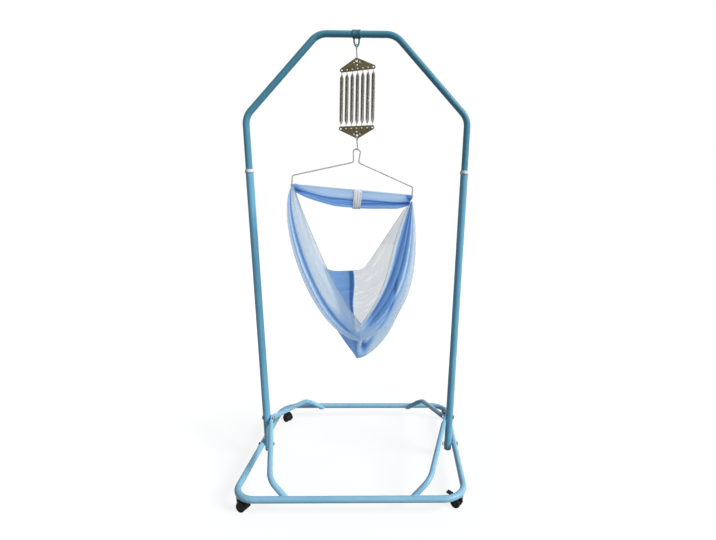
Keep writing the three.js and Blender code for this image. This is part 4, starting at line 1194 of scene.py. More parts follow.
@dataclass
class Castor:
    """A twin-wheel castor with a moulded hood, and on the front ones a brake lever."""

    side: Side
    end: End
    rest_turn: float
    across: float = 376.979
    depth: float = 312.0
    trail: float = 16.0
    wheel_radius: float = 18.0
    wheel_width: float = 11.0
    inset: float = 3.8
    rib_ring: float = 10.5
    rib_count: int = 12
    rib_size: tuple[float, float, float] = (3.6, 1.2, 1.1)
    axle_radius: float = 2.5
    hood_inner: float = 18.86
    hood_outer: float = 21.26
    hood_angles: Pair = (-12.0, 128.0)
    bead_angles: Pair = (-10.0, 126.0)
    bead_width: float = 1.8
    web: float = 7.0
    boss_radius: float = 8.0
    hood_top: float = 42.3
    lever_pivot: Pair = (34.664, 33.661)
    lever_length: float = 18.0
    lever_width: float = 18.0
    lever_rise: float = 3.8
    lever_thickness: float = 2.6
    ear_radius: float = 2.7
    ear_places: Pair = (-7.0, 7.0)
    pin_radius: float = 1.4

    @property
    def label(self) -> str:
        """The castor's name in the frame."""
        return f"{self.end.label}_{self.side.label}_castor"

    @property
    def place(self) -> Matrix:
        """The point on the floor below the stem, turned the way that the castor trails at rest."""
        centre = Vector((self.side.value * self.across, self.end.value * self.depth, 0))
        return Matrix.Translation(centre) @ Matrix.Rotation(math.radians(self.rest_turn), 4, "Z")

    def moulded(
        self, outline: Outline, width: float, bevel: float, shift: float = 0.0, holes: Sequence[Outline] = ()
    ) -> Mesh:
        """Makes a flat part of black nylon from its side drawing of trail and height.

        Args:
            outline: its outer edge.
            width: its size across the castor.
            bevel: the radius of its rounded edges.
            shift: the place of its middle across the castor.
            holes: the edges of its holes.

        Returns:
            The mesh.
        """
        plane = self.place @ Matrix(((0, 0, 1, shift), (1, 0, 0, 0), (0, 1, 0, 0), (0, 0, 0, 1)))
        return flat_plate(outline, width, bevel, BLACK_NYLON, plane, holes)

    def sector(self, inner: float, outer: float, span: Pair, steps: int = 28) -> Outline:
        """Draws a ring sector round the axle.

        Args:
            inner: its inner radius.
            outer: its outer radius.
            span: the angles in degrees that it goes from and to, from the trailing side.
            steps: steps along each edge.

        Returns:
            The outline.
        """
        start, stop = span
        angles = [math.radians(start + (stop - start) * i / steps) for i in range(steps + 1)]
        y, z = self.trail, self.wheel_radius
        far = [(y + outer * math.cos(a), z + outer * math.sin(a)) for a in angles]
        return far + [(y + inner * math.cos(a), z + inner * math.sin(a)) for a in reversed(angles)]

    def stem(self) -> None:
        """Makes the steel stem with its flange under the tube."""
        shank = [(0.0, 35.4), (4.0, 35.4), (4.0, 42.6)]
        flange = [(8.8, 42.6), (9.5, 43.1), (9.5, 44.1), (8.8, 44.6)]
        profile = shank + flange + [(4.0, 44.6), (4.0, 57.0), (2.8, 58.5), (0.0, 58.5)]
        mesh = shape_mesh("stem", lathe(profile, 40), ZINC, self.place)
        piece(f"{self.label}_stem_turned", [mesh], "stand", "zinc_steel", f"{self.label}_stem")

    def hood(self) -> None:
        """Makes the hood: a web on the axle, a fender over both wheels, a round boss and stiffening beads."""
        full = 2 * (self.inset + self.wheel_width)
        radius, top, root = self.boss_radius, self.hood_top, self.wheel_radius + 6
        post = [(-radius, root), (self.trail, root), (radius / 2, top - 0.3), (-radius / 2, top - 0.3)]
        cup = [(0.0, 34.0), (radius, 34.0), (radius, 39.8), (radius - 0.6, 41.5), (radius - 1.8, top)]
        cup += [(4.6, top), (4.6, 35.0), (0.0, 35.0)]
        meshes = [
            self.moulded(self.sector(self.hood_inner, self.hood_outer, self.hood_angles), full, 0.9),
            self.moulded(self.sector(0.5, self.hood_outer - 1.3, self.hood_angles), self.web, 0.5),
            self.moulded(post, self.web, 1.0),
            shape_mesh("boss", lathe(cup, 40), BLACK_NYLON, self.place),
            self.moulded(circle(self.trail, self.wheel_radius, 6, 32), self.web, 0.5),
        ]
        bead = self.sector(self.hood_outer - 0.6, self.hood_outer + 0.7, self.bead_angles)
        for way in (-1, 1):
            meshes.append(self.moulded(bead, self.bead_width, 0.4, way * (full / 2 - 1.1)))
        if self.end is End.FRONT:
            y, z = self.lever_pivot
            meshes.append(self.moulded(circle(y, z, 3.4), 11.0, 0.5, holes=[circle(y, z, 1.7, 16)]))
        name = f"{self.label}_hood"
        piece(f"{name}_moulded", meshes, f"{self.label}_swivel", "black_plastic", name)

    def wheel(self, outward: int) -> list[Mesh]:
        """Makes one wheel: a crowned tread, a sunk face with ribs between rim and hub, and the axle's boss.

        Args:
            outward: -1 for the wheel on the left of the web, 1 for the one on its right.

        Returns:
            The wheel's meshes.
        """
        r, w = self.wheel_radius, self.wheel_width
        tread = [(0.0, 0.0), (r - 1.8, 0.0), (r - 0.6, 0.4), (r, 1.8), (r, w - 3.6), (r - 0.4, w - 2.3)]
        rim = [(r - 1.4, w - 0.9), (r - 2.8, w - 0.2), (r - 4.0, w), (r - 4.9, w - 0.4), (r - 5.5, w - 2.0)]
        face = [(8.6, w - 2.6), (6.9, w - 2.4), (6.2, w - 1.1), (4.8, w - 0.7)]
        boss = [(2.6, w - 0.6), (2.0, w - 1.2), (0.0, w - 1.2)]
        hub = Vector((outward * self.inset, self.trail, self.wheel_radius))
        place = self.place @ along_x(hub, outward)
        disc = shape_mesh("wheel", lathe(tread + rim + face + boss, 64), TYRE_NYLON, place)
        spot = bpy.data.meshes.new("rib_spot")
        spot.from_pydata([(outward * (self.inset + w - 2.0), self.trail, self.wheel_radius)], [], [])
        sizes = {"Ring": self.rib_ring, "Count": self.rib_count, "Size": self.rib_size}
        ribs = RIBS.grow("ribs", spot, sizes | {"Finish": TYRE_NYLON.material()})
        ribs.transform(self.place)
        return [disc, ribs]

    def cross_pin(self, half: float, y: float, z: float, radius: float, sides: int) -> Mesh:
        """Makes a steel pin across the castor.

        Args:
            half: half its length.
            y: its place along the trail.
            z: its height.
            radius: its radius.
            sides: the sides of its round.

        Returns:
            The mesh.
        """
        return rod("pin", [self.place @ Vector((s * half, y, z)) for s in (-1, 1)], radius, ZINC, sides)

    def wheels(self) -> None:
        """Makes the wheel pair with ribbed faces, on one axle."""
        axle = self.cross_pin(8, self.trail, self.wheel_radius, self.axle_radius, 20)
        meshes = [*self.wheel(-1), *self.wheel(1), axle]
        nodes = [f"{self.label}_wheel_inner", f"{self.label}_wheel_outer"]
        piece(f"{self.label}_wheel_pair", meshes, f"{self.label}_wheels", "black_plastic", *nodes)

    def lever(self) -> None:
        """Makes the brake pedal with its grip bars, two ears and pin."""
        (y, z), thick = self.lever_pivot, self.lever_thickness
        near, far, seat = y - self.ear_radius / 2, y + self.lever_length, z + self.lever_rise
        under = [(near, seat), (far - 5, seat + thick * 0.7), (far, seat + thick * 1.2)]
        over = [(far, seat + thick * 1.9), (far - 2, seat + thick * 2.0), (near, seat + thick)]
        meshes = [self.moulded(under + over, self.lever_width, 0.9)]
        slope = thick / self.lever_length
        for i in range(4):
            reach = 5 + i * 3.2
            bar = circle(y + reach, seat + thick + reach * slope, 0.7, 10)
            meshes.append(self.moulded(bar, self.lever_width - 4, 0.3))
        turns = np.linspace(math.pi, 2 * math.pi, 14)
        ear = [(y + self.ear_radius * math.cos(a), z + self.ear_radius * math.sin(a)) for a in turns]
        ear += [(y + self.ear_radius, seat + 1.3), (near, seat + 1.3)]
        meshes += [self.moulded(ear, 2.4, 0.4, shift) for shift in self.ear_places]
        meshes.append(self.cross_pin(8.4, y, z, self.pin_radius, 16))
        name = f"{self.label}_brake_lever"
        piece(f"{name}_moulded", meshes, f"{self.label}_brake", "black_plastic", name)

    def build(self) -> None:
        """Builds the whole castor."""
        self.stem()
        self.hood()
        self.wheels()
        if self.end is End.FRONT:
            self.lever()


# The sprung suspension


@dataclass
class Suspension:
    """The band on the top bar, both hooks, both hole plates and the seven springs."""

    bar_height: float = 1666.0
    band_inner: float = 13.33
    band_wall: float = 2.8
    band_width: float = 30.0
    loop_wire: float = 3.2
    loop_half: float = 9.6
    loop_route: Table = ((-9.6, 1651.3), (-9.6, 1638.07), (-4.6, 1623.066))
    loop_weld: float = 3.9
    hook_wire: float = 2.0
    hook_bend: float = 10.0
    hook_tip: float = 15.0
    upper_hook: Pair = (1628.566, 1571.866)
    lower_hook: Pair = (1291.106, 1238.106)
    plate_thickness: float = 1.6
    pitch: float = 20.0
    count: int = 7
    hook_rise: float = 29.0
    apex_rise: float = 31.0
    rim_radius: float = 4.3
    top_row: float = 1540.986
    bottom_row: float = 1321.986
    top_tilt: float = 7.0
    bottom_tilt: float = 3.0
    spring_radius: float = 6.0
    spring_wire: float = 1.0
    spring_turns: int = 66
    turn_steps: int = 12
    neck_radius: float = 2.4
    neck_share: float = 0.07
    hook_reach: float = 4.4
    hook_drop: float = 13.0
    lead_length: float = 4.0
    end_seat: float = 1.9
    inner_seat: float = 0.9

    @property
    def reach(self) -> float:
        """The distance of the end springs from the middle one."""
        return (self.count - 1) / 2 * self.pitch

    def band(self) -> None:
        """Makes the rolled band and its closed loop."""
        half, outer = self.band_width / 2, self.band_inner + self.band_wall
        rim = ((-0.5, 0.0), (0.3, 1.2), (0.3, 3.0), (-0.3, 4.2))
        edge = [(outer + r, half - h) for r, h in rim]
        low = [(self.band_inner, -half)] + [(r, -h) for r, h in edge]
        profile = low + edge[::-1] + [(self.band_inner, half), low[0]]
        place = along_x(Vector((0, 0, self.bar_height)), 1)
        barrel = shape_mesh("barrel", lathe(profile, 64), BAND_SHADED_PAINT, place)
        route = [Vector((x, 0, z)) for x, z in self.loop_route]
        route += [Vector((-x, 0, z)) for x, z in reversed(self.loop_route)]
        loop = rod("loop", arc_route(route, [9.0, 4.2, 4.2, 9.0], 8), self.loop_wire, BAND_SHADED_PAINT)
        welds = []
        for x in (-self.loop_half, self.loop_half):
            ring = []
            for angle in np.linspace(0, 2 * math.pi, 25):
                y = self.loop_weld * math.sin(angle)
                fall = math.sqrt(outer**2 - y**2)
                ring.append(Vector((x + self.loop_weld * math.cos(angle), y, self.bar_height - fall)))
            welds.append(weld_bead("weld", ring, 1.1, BAND_SHADED_PAINT, 8, 0.2, 1.9))
        piece("bar_band", [barrel, loop, *welds], "stand", "teal_paint", "hook_band")

    def s_hook(self, body: str, ends: Pair, node: str) -> None:
        """Bends one S-hook in the plane that faces sideways.

        Args:
            body: the body it rides on.
            ends: heights of the wire's middle at the top and the bottom bend.
            node: the frame's node that it stands for.
        """
        bend = self.hook_bend
        upper, lower = ends[0] - bend, ends[1] + bend
        shank = math.acos(2 * bend / (upper - lower))
        start, turn = -math.radians(self.hook_tip), 3 * math.pi / 2 - shank
        route = []
        for centre, begin, stop in ((upper, start, turn), (lower, turn - math.pi, -math.pi - start)):
            for angle in np.linspace(begin, stop, 20):
                route.append(Vector((0, bend * math.cos(angle), centre + bend * math.sin(angle))))
        wire = domed_rod("hook", route, self.hook_wire, HOOK_STEEL)
        piece(f"{body}_wire", [wire], body, "zinc_steel", node)

    def hung(self, row: Row) -> tuple[Vector, float]:
        """Finds how a plate hangs.

        Args:
            row: the plate's row.

        Returns:
            The place of its hook's hole, and its tilt in radians.
        """
        top = row is Row.TOP
        height = (self.top_row if top else self.bottom_row) + row.value * self.hook_rise
        return Vector((0, 0, height)), math.radians(self.top_tilt if top else self.bottom_tilt)

    def hole(self, x: float, row: Row) -> Vector:
        """Finds a row hole's place once its plate hangs tilted about the hook's hole.

        Args:
            x: the hole's place along the row.
            row: the row.

        Returns:
            The place of the hole's middle.
        """
        hook, tilt = self.hung(row)
        return hook + Matrix.Rotation(-tilt, 4, "Y") @ Vector((x, 0, -row.value * self.hook_rise))

    def plate(self, row: Row) -> None:
        """Makes one triangular hole plate, with dark rims round its end holes.

        Args:
            row: the row of holes that it has.
        """
        reach, apex = self.reach, self.apex_rise
        corners = ((reach, 0, 8.0, -90, 57), (0, apex, 9.0, 57, 123), (-reach, 0, 8.0, 123, 270))
        outline = []
        for x, y, radius, begin, stop in corners:
            for angle in np.radians(np.linspace(begin, stop, 14)):
                outline.append((x + radius * math.cos(angle), y + radius * math.sin(angle)))
        places = [i * self.pitch - reach for i in range(self.count)]
        holes = [circle(x, 0, 3.4 if abs(x) == reach else 2.4) for x in places]
        others = ((0, 14, 2.4), (0, self.hook_rise, 4.5, 32), (-11, 23, 2.0), (11, 23, 2.0))
        holes += [circle(*other) for other in others]
        hook, tilt = self.hung(row)
        turn = Matrix.Rotation(-tilt + (0 if row is Row.TOP else math.pi), 4, "Y")
        flat = Matrix(((1, 0, 0, 0), (0, 0, -1, 0), (0, 1, 0, -self.hook_rise), (0, 0, 0, 1)))
        place = Matrix.Translation(hook) @ turn @ flat
        meshes = [flat_plate(outline, self.plate_thickness, 0.35, PLATE_LACQUER, place, holes)]
        for x in (-reach, reach):
            for z in (-self.plate_thickness / 2, self.plate_thickness / 2):
                ring = [place @ Vector((cx, cy, z)) for cx, cy in circle(x, 0, self.rim_radius)]
                meshes.append(rod("rim", ring + ring[:1], 0.7, RIM_LACQUER, 8))
        body = "spring_head" if row is Row.TOP else "spring_foot"
        name = f"{row.label}_spring_plate"
        piece(f"{name}_pressed", meshes, body, "bronze_plate", name, smooth=30)

    def spring_hook(self, hole: Vector, axis: Vector, way: int, seat: float) -> list[Vector]:
        """Bends the hook of a spring through one hole.

        Args:
            hole: the hole's place.
            axis: the spring's direction, from top to bottom.
            way: 1 at the top hole, -1 at the bottom one.
            seat: how far from the hole's middle the wire rests.

        Returns:
            The route from the hook's tip to the coil's end.
        """
        face = Vector((0, -self.hook_reach, 0))
        back = Vector((0, self.hook_reach + 2 * self.spring_wire, 0))
        rest = hole + axis * (way * seat)
        tip = rest + back + axis * (way * 5.0)
        turned = [tip, rest + back, rest + face, hole + face + axis * (way * self.hook_drop)]
        return arc_route(turned, [1.9, 1.9], 5)

    def spring_route(self, top: Vector, bottom: Vector, seat: float) -> list[Vector]:
        """Winds one spring's wire: hook, drawn-in coil, hook.

        Args:
            top: the place of its top hole.
            bottom: the place of its bottom hole.
            seat: how far from each hole's middle the wire rests.

        Returns:
            The wire's route.
        """
        axis = (bottom - top).normalized()
        across = (Vector((1, 0, 0)) - axis * axis.x).normalized()
        depth = axis.cross(across)
        start = self.hook_drop + self.lead_length
        length = (bottom - top).length - 2 * start
        steps = self.spring_turns * self.turn_steps
        coil = []
        for i in range(steps + 1):
            share = i / steps
            inset = min(min(share, 1 - share) / self.neck_share, 1.0)
            rise = inset * inset * (3 - 2 * inset)
            radius = self.neck_radius + (self.spring_radius - self.neck_radius) * rise
            angle = 2 * math.pi * i / self.turn_steps - math.pi / 2
            centre = top + axis * (start + share * length)
            coil.append(centre + across * (radius * math.cos(angle)) - depth * (radius * math.sin(angle)))
        head = self.spring_hook(top, axis, 1, seat)
        return head + coil + self.spring_hook(bottom, axis, -1, seat)[::-1]

    def springs(self) -> None:
        """Winds the seven springs between the two plates, and leaves each on no body."""
        for i in range(self.count):
            x = i * self.pitch - self.reach
            top, bottom = self.hole(x, Row.TOP), self.hole(x, Row.BOTTOM)
            route = self.spring_route(top, bottom, self.end_seat if abs(x) == self.reach else self.inner_seat)
            wire = domed_rod(f"coil_{i + 1}", route, self.spring_wire, SPRING_STEEL, 8, 3)
            made = piece(f"wound_spring_{i + 1}", [wire], None, "spring_steel", f"spring_{i + 1}", smooth=60)
            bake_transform(made)

    def build(self) -> None:
        """Builds the whole suspension."""
        self.band()
        self.s_hook("upper_hook", self.upper_hook, "upper_s_hook")
        self.plate(Row.TOP)
        self.springs()
        self.plate(Row.BOTTOM)
        self.s_hook("lower_hook", self.lower_hook, "lower_s_hook")


# The hanger and its cloth


def smooth_table(places: Sequence[float], rows: Sequence[Sequence[float]], at: np.ndarray) -> np.ndarray:
    """Reads a table smoothly between its places, without passing beyond any row that is a peak.

    Args:
        places: the place of each row, in order.
        rows: the table.
        at: the places to read.

    Returns:
        One row of values for each place read.
    """
    x, y = np.array(places, float), np.array(rows, float)
    rise = np.diff(y, axis=0) / np.diff(x)[:, None]
    both = rise[:-1] * rise[1:]
    turning = np.where(both > 0, 2 * both / np.where(both > 0, rise[:-1] + rise[1:], 1), 0)
    slope = np.concatenate([rise[:1], turning, rise[-1:]])
    low = np.clip(np.searchsorted(x, at, side="right") - 1, 0, len(x) - 2)
    span = (x[low + 1] - x[low])[:, None]
    t = np.clip((at - x[low]) / (x[low + 1] - x[low]), 0, 1)[:, None]
    start = (2 * t**3 - 3 * t**2 + 1) * y[low] + (t**3 - 2 * t**2 + t) * span * slope[low]
    stop = (3 * t**2 - 2 * t**3) * y[low + 1] + (t**3 - t**2) * span * slope[low + 1]
    return start + stop


def smooth_row(values: Sequence[float], at: np.ndarray) -> np.ndarray:
    """Reads evenly spaced values smoothly, from the first at 0 to the last at 1.

    Args:
        values: the values.
        at: the places to read, in any shape.

    Returns:
        The value at each place, in the same shape.
    """
    table = [[v] for v in values]
    return smooth_table(np.linspace(0, 1, len(values)), table, np.ravel(at))[:, 0].reshape(np.shape(at))


def swell(values: np.ndarray, low: float, high: float) -> np.ndarray:
    """Rises smoothly from zero at low to one at high."""
    t = np.clip((values - low) / (high - low), 0, 1)
    return t * t * (3 - 2 * t)


def ridge(values: np.ndarray, place: float | np.ndarray, width: float | np.ndarray) -> np.ndarray:
    """A smooth ridge of height one round a place."""
    return np.exp(-(((values - place) / width) ** 2))


def toward(values: np.ndarray, aim: float | np.ndarray, share: np.ndarray) -> np.ndarray:
    """Draws values a share of the way to an aim."""
    return values + (aim - values) * share


def round_grid(rows: Sequence[float], around: int) -> tuple[np.ndarray, np.ndarray]:
    """Spreads rows of points round a tube of cloth.

    Args:
        rows: the value of each row.
        around: the number of points in a row.

    Returns:
        The row's value and the angle at each point.
    """
    turns = np.linspace(0, 2 * math.pi, around, endpoint=False)
    return np.meshgrid(rows, turns, indexing="ij")


def moved(places: np.ndarray, place: Matrix) -> np.ndarray:
    """Takes an array of places to another frame.

    Args:
        places: the places, three numbers in the last axis.
        place: the matrix to the other frame.

    Returns:
        The places there.
    """
    world = np.array(place)
    return places @ world[:3, :3].T + world[:3, 3]


def cloth_mesh(
    name: str,
    places: np.ndarray,
    layers: np.ndarray,
    cut: Pair,
    finish: Finish,
    closed: bool = False,
) -> Mesh:
    """Makes a sheet from a grid of places.

    Args:
        name: the mesh's name.
        places: the grid, as rows by columns by three.
        layers: how deep the colour looks at each place of the grid, with painted shade and highlight in it.
        cut: the sheet's flat size in metres, along its columns and its rows, for its UV map.
        finish: its finish.
        closed: whether the last column meets the first one.

    Returns:
        The mesh.
    """
    rows, columns = places.shape[:2]
    mesh = bpy.data.meshes.new(name)
    faces = []
    for low in range(0, (rows - 1) * columns, columns):
        for i in range(columns if closed else columns - 1):
            ahead = (i + 1) % columns
            faces.append((low + i, low + ahead, low + columns + ahead, low + columns + i))
    mesh.from_pydata(places.reshape(-1, 3).tolist(), [], faces)
    depth = mesh.attributes.new("layers", "FLOAT", "POINT")
    depth.data.foreach_set("value", layers.astype(np.float32).ravel())
    flat = mesh.uv_layers.new(name="UVMap")
    for face in mesh.polygons:
        for corner, vertex in zip(face.loop_indices, face.vertices):
            j, i = divmod(vertex, columns)
            if closed and i == 0 and corner != face.loop_indices[0]:
                i = columns
            flat.data[corner].uv = (cut[0] * i / columns, cut[1] * j / rows)
    mesh.materials.append(finish.material())
    mesh.polygons.foreach_set("use_smooth", [True] * len(mesh.polygons))
    return mesh


@dataclass
class Cradle:
    """The bent-wire hanger, its rod, the gathered header with its strap, and the sheer sling.

    The sling is a sheet of curves. Each curve falls from the left gather to its lowest point and rises to the
    right gather. The tables give those curves from the front hem at 0 to the back hem at 1.
    """

    hang_height: float = 1243.006
    yaw: float = 14.0
    tilt: float = 4.6
    wire_radius: float = 2.6
    half_span: float = 233.0
    rod_drop: float = 160.0
    rod_radius: float = 2.2
    rod_overhang: float = 6.0
    wire_bends: tuple[float, ...] = (9, 9, 12.5, 12.5, 9, 9)
    header_end: float = 6.0
    header_height: float = 66.0
    header_half: float = 8.0
    header_cover: float = 3.0
    header_grid: tuple[int, int] = (150, 96)
    header_shares: tuple[float, ...] = (0.32, 0.66, 0.87, 0.98, 1.0, 0.97, 0.92, 0.84, 0.56)
    header_creases: tuple[float, ...] = (11.0, 22.0, 33.0, 38.0, 38.0, 35.0, 33.0, 31.0, 27.0)
    # Each row: place below the main crease, width and height in mm, and painted shade left and right of the
    # strap, more in a groove and less, as painted highlight, on a ridge.
    header_table: Table = (
        (0.0, 4.6, -3.4, 0.42, 0.50),
        (9.0, 3.2, -2.2, 0.10, 0.34),
        (-8.0, 3.0, -1.4, 0.16, 0.04),
        (-4.5, 2.2, 2.2, -0.10, -0.06),
        (5.0, 2.2, 2.0, -0.16, -0.14),
        (16.0, 2.8, -1.5, 0.20, 0.10),
        (21.0, 2.4, 1.6, -0.12, -0.10),
    )
    gather_grid: tuple[int, int] = (22, 64)
    strap_across: float = 14.0
    strap_width: float = 31.0
    strap_grid: tuple[int, int] = (24, 72)
    sling_drop: float = 680.0
    sling_half_depth: float = 125.0
    gather_width: float = 10.0
    gather_depth: float = 12.0
    right_drop: float = 18.0
    stations: tuple[float, ...] = (0.0, 0.34, 0.385, 0.55, 0.78, 1.0)
    # The lowest point of each curve: place across, depth and height, as shares of the sling's sizes.
    middles: Table = (
        (0.035, -0.9, 0.27),
        (0.03, -0.64, 0.165),
        (0.02, -0.35, 0.195),
        (0.05, 0.27, 0.0),
        (-0.03, 0.8, 0.26),
        (-0.2, 1.12, 0.51),
    )
    # The pull on either side of each curve: out and down at the gather, out and up at the lowest point.
    left_handles: Table = (
        (-0.056, 0.12, 0.437, 0.235),
        (0.241, 0.23, 0.75, 0.077),
        (0.2, 0.27, 0.68, 0.075),
        (0.045, 0.558, 0.002, 0.031),
        (-0.1, 0.6, 0.2, 0.02),
        (-0.4, 0.7, 0.4, 0.01),
    )
    right_handles: Table = (
        (-0.581, 0.461, 0.66, 0.4),
        (0.137, 0.721, 0.606, 0.071),
        (0.11, 0.74, 0.55, 0.07),
        (0.133, 0.841, 0.247, 0.0),
        (-0.2, 0.92, 0.3, 0.0),
        (-0.61, 1.0, 0.39, 0.0),
    )
    # Lengthwise folds of each fall: place across the cloth, width, and height in mm.
    left_folds: Table = ((0.215, 0.028, -8.0), (0.255, 0.012, 4.0), (0.282, 0.012, -5.0))
    right_folds: Table = (
        (0.085, 0.022, -6.0),
        (0.115, 0.014, 3.5),
        (0.145, 0.018, -6.0),
        (0.18, 0.013, 5.0),
    )
    back_pull: float = 2.0
    columns: int = 220
    rows: int = 120
    cloth_cut: Pair = (1.5, 0.6)
    cloth_area: float = 0.52
    hem_radius: float = 1.0
    hem_stop: float = 0.985
    seam_inset: float = 0.012
    body: str = "cradle"

    @property
    def turned(self) -> Matrix:
        """The place of what turns with the hanger but hangs plumb."""
        return Matrix.Translation((0, 0, self.hang_height)) @ Matrix.Rotation(math.radians(self.yaw), 4, "Z")

    @property
    def leaned(self) -> Matrix:
        """The hanger's lean towards its right end."""
        return Matrix.Rotation(math.radians(self.tilt), 4, "Y")

    @property
    def tilted(self) -> Matrix:
        """The place of the hanger and of what is held by its rod."""
        return self.turned @ self.leaned

    def hanger(self) -> None:
        """Bends the hanger's wire and lays its rod."""
        leg = -self.rod_drop + self.rod_radius + 0.3
        half = ((-self.half_span, leg), (-self.half_span, -124), (-9.5, -51), (-15, 0))
        points = [Vector((x, 0, z)) for x, z in half] + [Vector((-x, 0, z)) for x, z in reversed(half)]
        wire = rod("wire", arc_route(points, self.wire_bends, 10), self.wire_radius, HANGER_STEEL, 20)
        wire.transform(self.tilted)
        feet = []
        for x in (-self.half_span, self.half_span):
            turns = np.linspace(0, 2 * math.pi, 19)
            ring = [Vector((x + 2.9 * math.cos(a), 2.3 * math.sin(a), leg + 0.2)) for a in turns]
            feet.append(rod("weld", [self.tilted @ p for p in ring], 1.0, HANGER_STEEL, 8))
        piece("hanger_bent_wire", [wire, *feet], self.body, "grey_wire", "hanger_wire")
        reach = self.half_span + self.rod_overhang
        ends = [Vector((x, 0, -self.rod_drop)) for x in (-reach, 0, reach)]
        bar = domed_rod("bar", ends, self.rod_radius, HANGER_STEEL)
        bar.transform(self.tilted)
        piece("hanger_straight_bar", [bar], self.body, "grey_wire", "hanger_rod")

    def header_low(self, along: np.ndarray) -> np.ndarray:
        """The header's depth below the rod, from its left end at 0 to its right end at 1."""
        return self.header_height * smooth_row(self.header_shares, along)

    def header_folds(self, along: np.ndarray, fall: np.ndarray, face: int) -> tuple[np.ndarray, np.ndarray]:
        """Creases the gathered header along one deep crease, closing up towards the rod's ends.

        Args:
            along: the place along the rod, from 0 to 1.
            fall: the depth below the rod in millimetres.
            face: 1 on the front face, -1 on the rear one.

        Returns:
            How far the cloth stands out, and how deep its colour looks: darker below the main crease and
            towards the ends, with painted shade in its grooves and painted highlight on its ridges.
        """
        low = self.header_low(along)
        crease = smooth_row(self.header_creases, along) + 2 * (1 - face)
        room = low / self.header_height
        out = np.zeros_like(along)
        deep = 0.26 + 0.2 * swell(fall - crease, -7, 4) - 0.12 * swell(fall / low, 0.8, 1.0)
        for shift, width, height, fold_shade_left, fold_shade_right in self.header_table:
            path = crease + shift * room + 1.6 * np.sin(9 * along + shift)
            shape = ridge(fall, path, width * (0.35 + 0.65 * room))
            out += height * shape
            # Painted shade in each groove, and painted highlight on each ridge.
            deep += np.where(along < 0.53, fold_shade_left, fold_shade_right) * shape
        end = np.minimum(along, 1 - along)
        return out, deep + 0.25 * (1 - swell(end, 0.0, 0.12)) * swell(fall, 4, 12)

    def header(self) -> None:
        """Gathers the header along the rod: a flattened tube whose creases run from end to end."""
        count, around = self.header_grid
        along, angle = round_grid(np.linspace(0, 1, count), around)
        low, high = self.header_low(along), self.rod_radius + self.header_cover
        z = (high - low) / 2 + (high + low) / 2 * np.cos(angle)
        front, front_depth_and_shade = self.header_folds(along, -z, 1)
        rear, rear_depth_and_shade = self.header_folds(along, -z, -1)
        deep_way = np.sin(angle)
        out = np.where(deep_way < 0, front, rear)
        taper = 0.4 + 0.6 * np.minimum(1.0, np.minimum(along, 1 - along) * 9)
        y = deep_way * self.header_half * taper + np.sign(deep_way) * out * taper * np.abs(deep_way) ** 0.5
        sag = 0.6 * np.sin(22 * along + 3 * np.cos(angle)) * (z < 0)
        reach = self.half_span - self.header_end
        places = np.stack([reach * (2 * along - 1), y, z - self.rod_drop + sag], axis=2)
        layers = np.where(deep_way < 0, front_depth_and_shade, rear_depth_and_shade)
        skin = cloth_mesh("header", moved(places, self.tilted), layers, (0.16, 0.46), VOILE, closed=True)
        meshes = [skin, self.gather(-1), self.gather(1)]
        made = piece("gathered_header", meshes, self.body, "sky_cloth", "cloth_header", smooth=80)

    def gather(self, side: int) -> Mesh:
        """Makes the small sleeve of cloth that wraps one end of the rod, above the sling's fall.

        Args:
            side: -1 for the left end, 1 for the right one.

        Returns:
            The mesh.
        """
        count, around = self.gather_grid
        share, angle = round_grid(np.linspace(0, 1, count), around)
        bulge = np.sin(math.pi * np.minimum(share * 1.15, 1.0)) ** 0.7
        pleat = 1 + 0.13 * np.sin(11 * angle + 2.2 * share) * np.sin(math.pi * share)
        radius = (3.2 + (2.7 - 1.1 * side) * bulge) * pleat
        sag = 1.5 + (self.right_drop / 3.4 - 1.5) * np.sin(0.85 * math.pi * share) * (side > 0)
        z = radius * np.cos(angle) * np.where(np.cos(angle) < 0, sag, 0.9) - self.rod_drop
        x = side * (self.half_span - 27 + 29 * share)
        places = np.stack([x, radius * np.sin(angle), z], axis=2)
        # The tone follows the pleats as painted shade and highlight, and on the right gather it darkens
        # towards the underside.
        layers = 0.36 + 0.12 * np.sin(11 * angle) + 0.24 * (1 + side) * (0.5 - 0.5 * np.cos(angle))
        return cloth_mesh("gather", moved(places, self.tilted), layers, (0.05, 0.03), VOILE, closed=True)

    def strap(self) -> None:
        """Wraps the white strap round the header, with a row of stitches near each edge."""
        count, around = self.strap_grid
        across = np.linspace(-0.5, 0.5, count) * self.strap_width
        offset, angle = round_grid(np.concatenate([across, across[::-1]]), around)
        x = self.strap_across + offset
        grow = np.where(np.arange(2 * count) < count, 0.8, 0.0)[:, None]
        low = self.header_low((x / (self.half_span - self.header_end) + 1) / 2) + 2.2
        high = self.rod_radius + self.header_cover + 1.2
        y = (self.header_half + 2.6 + grow + 0.5 * np.sin(offset * 0.62)) * np.sin(angle)
        z = (high - low) / 2 + ((high + low) / 2 + grow) * np.cos(angle) - self.rod_drop
        placed = moved(np.stack([x, y, z], axis=2), self.tilted)
        loop = np.concatenate([placed, placed[:1]])
        band = cloth_mesh("strap", loop, np.zeros(loop.shape[:2]), (0.2, 0.03), TAPE, closed=True)
        seams = []
        for inset in (-self.strap_width / 2 + 2.5, self.strap_width / 2 - 2.5):
            line = placed[int((inset / self.strap_width + 0.5) * (count - 1))]
            row = [Vector(p) for p in line]
            values = {"Spacing": 3.0, "Thread": 0.35, "Finish": TAPE.material()}
            seams.append(STITCHES.grow("stitches", path_mesh("seam", row + row[:1]), values))
        made = piece("header_strap", [band, *seams], self.body, "white_cloth", "cloth_strap", smooth=60)

    def rod_end(self, side: int) -> np.ndarray:
        """The rod's end on one side, in the frame that turns with the hanger but doesn't tilt."""
        return np.array(self.leaned @ Vector((side * self.half_span, 0, -self.rod_drop)))

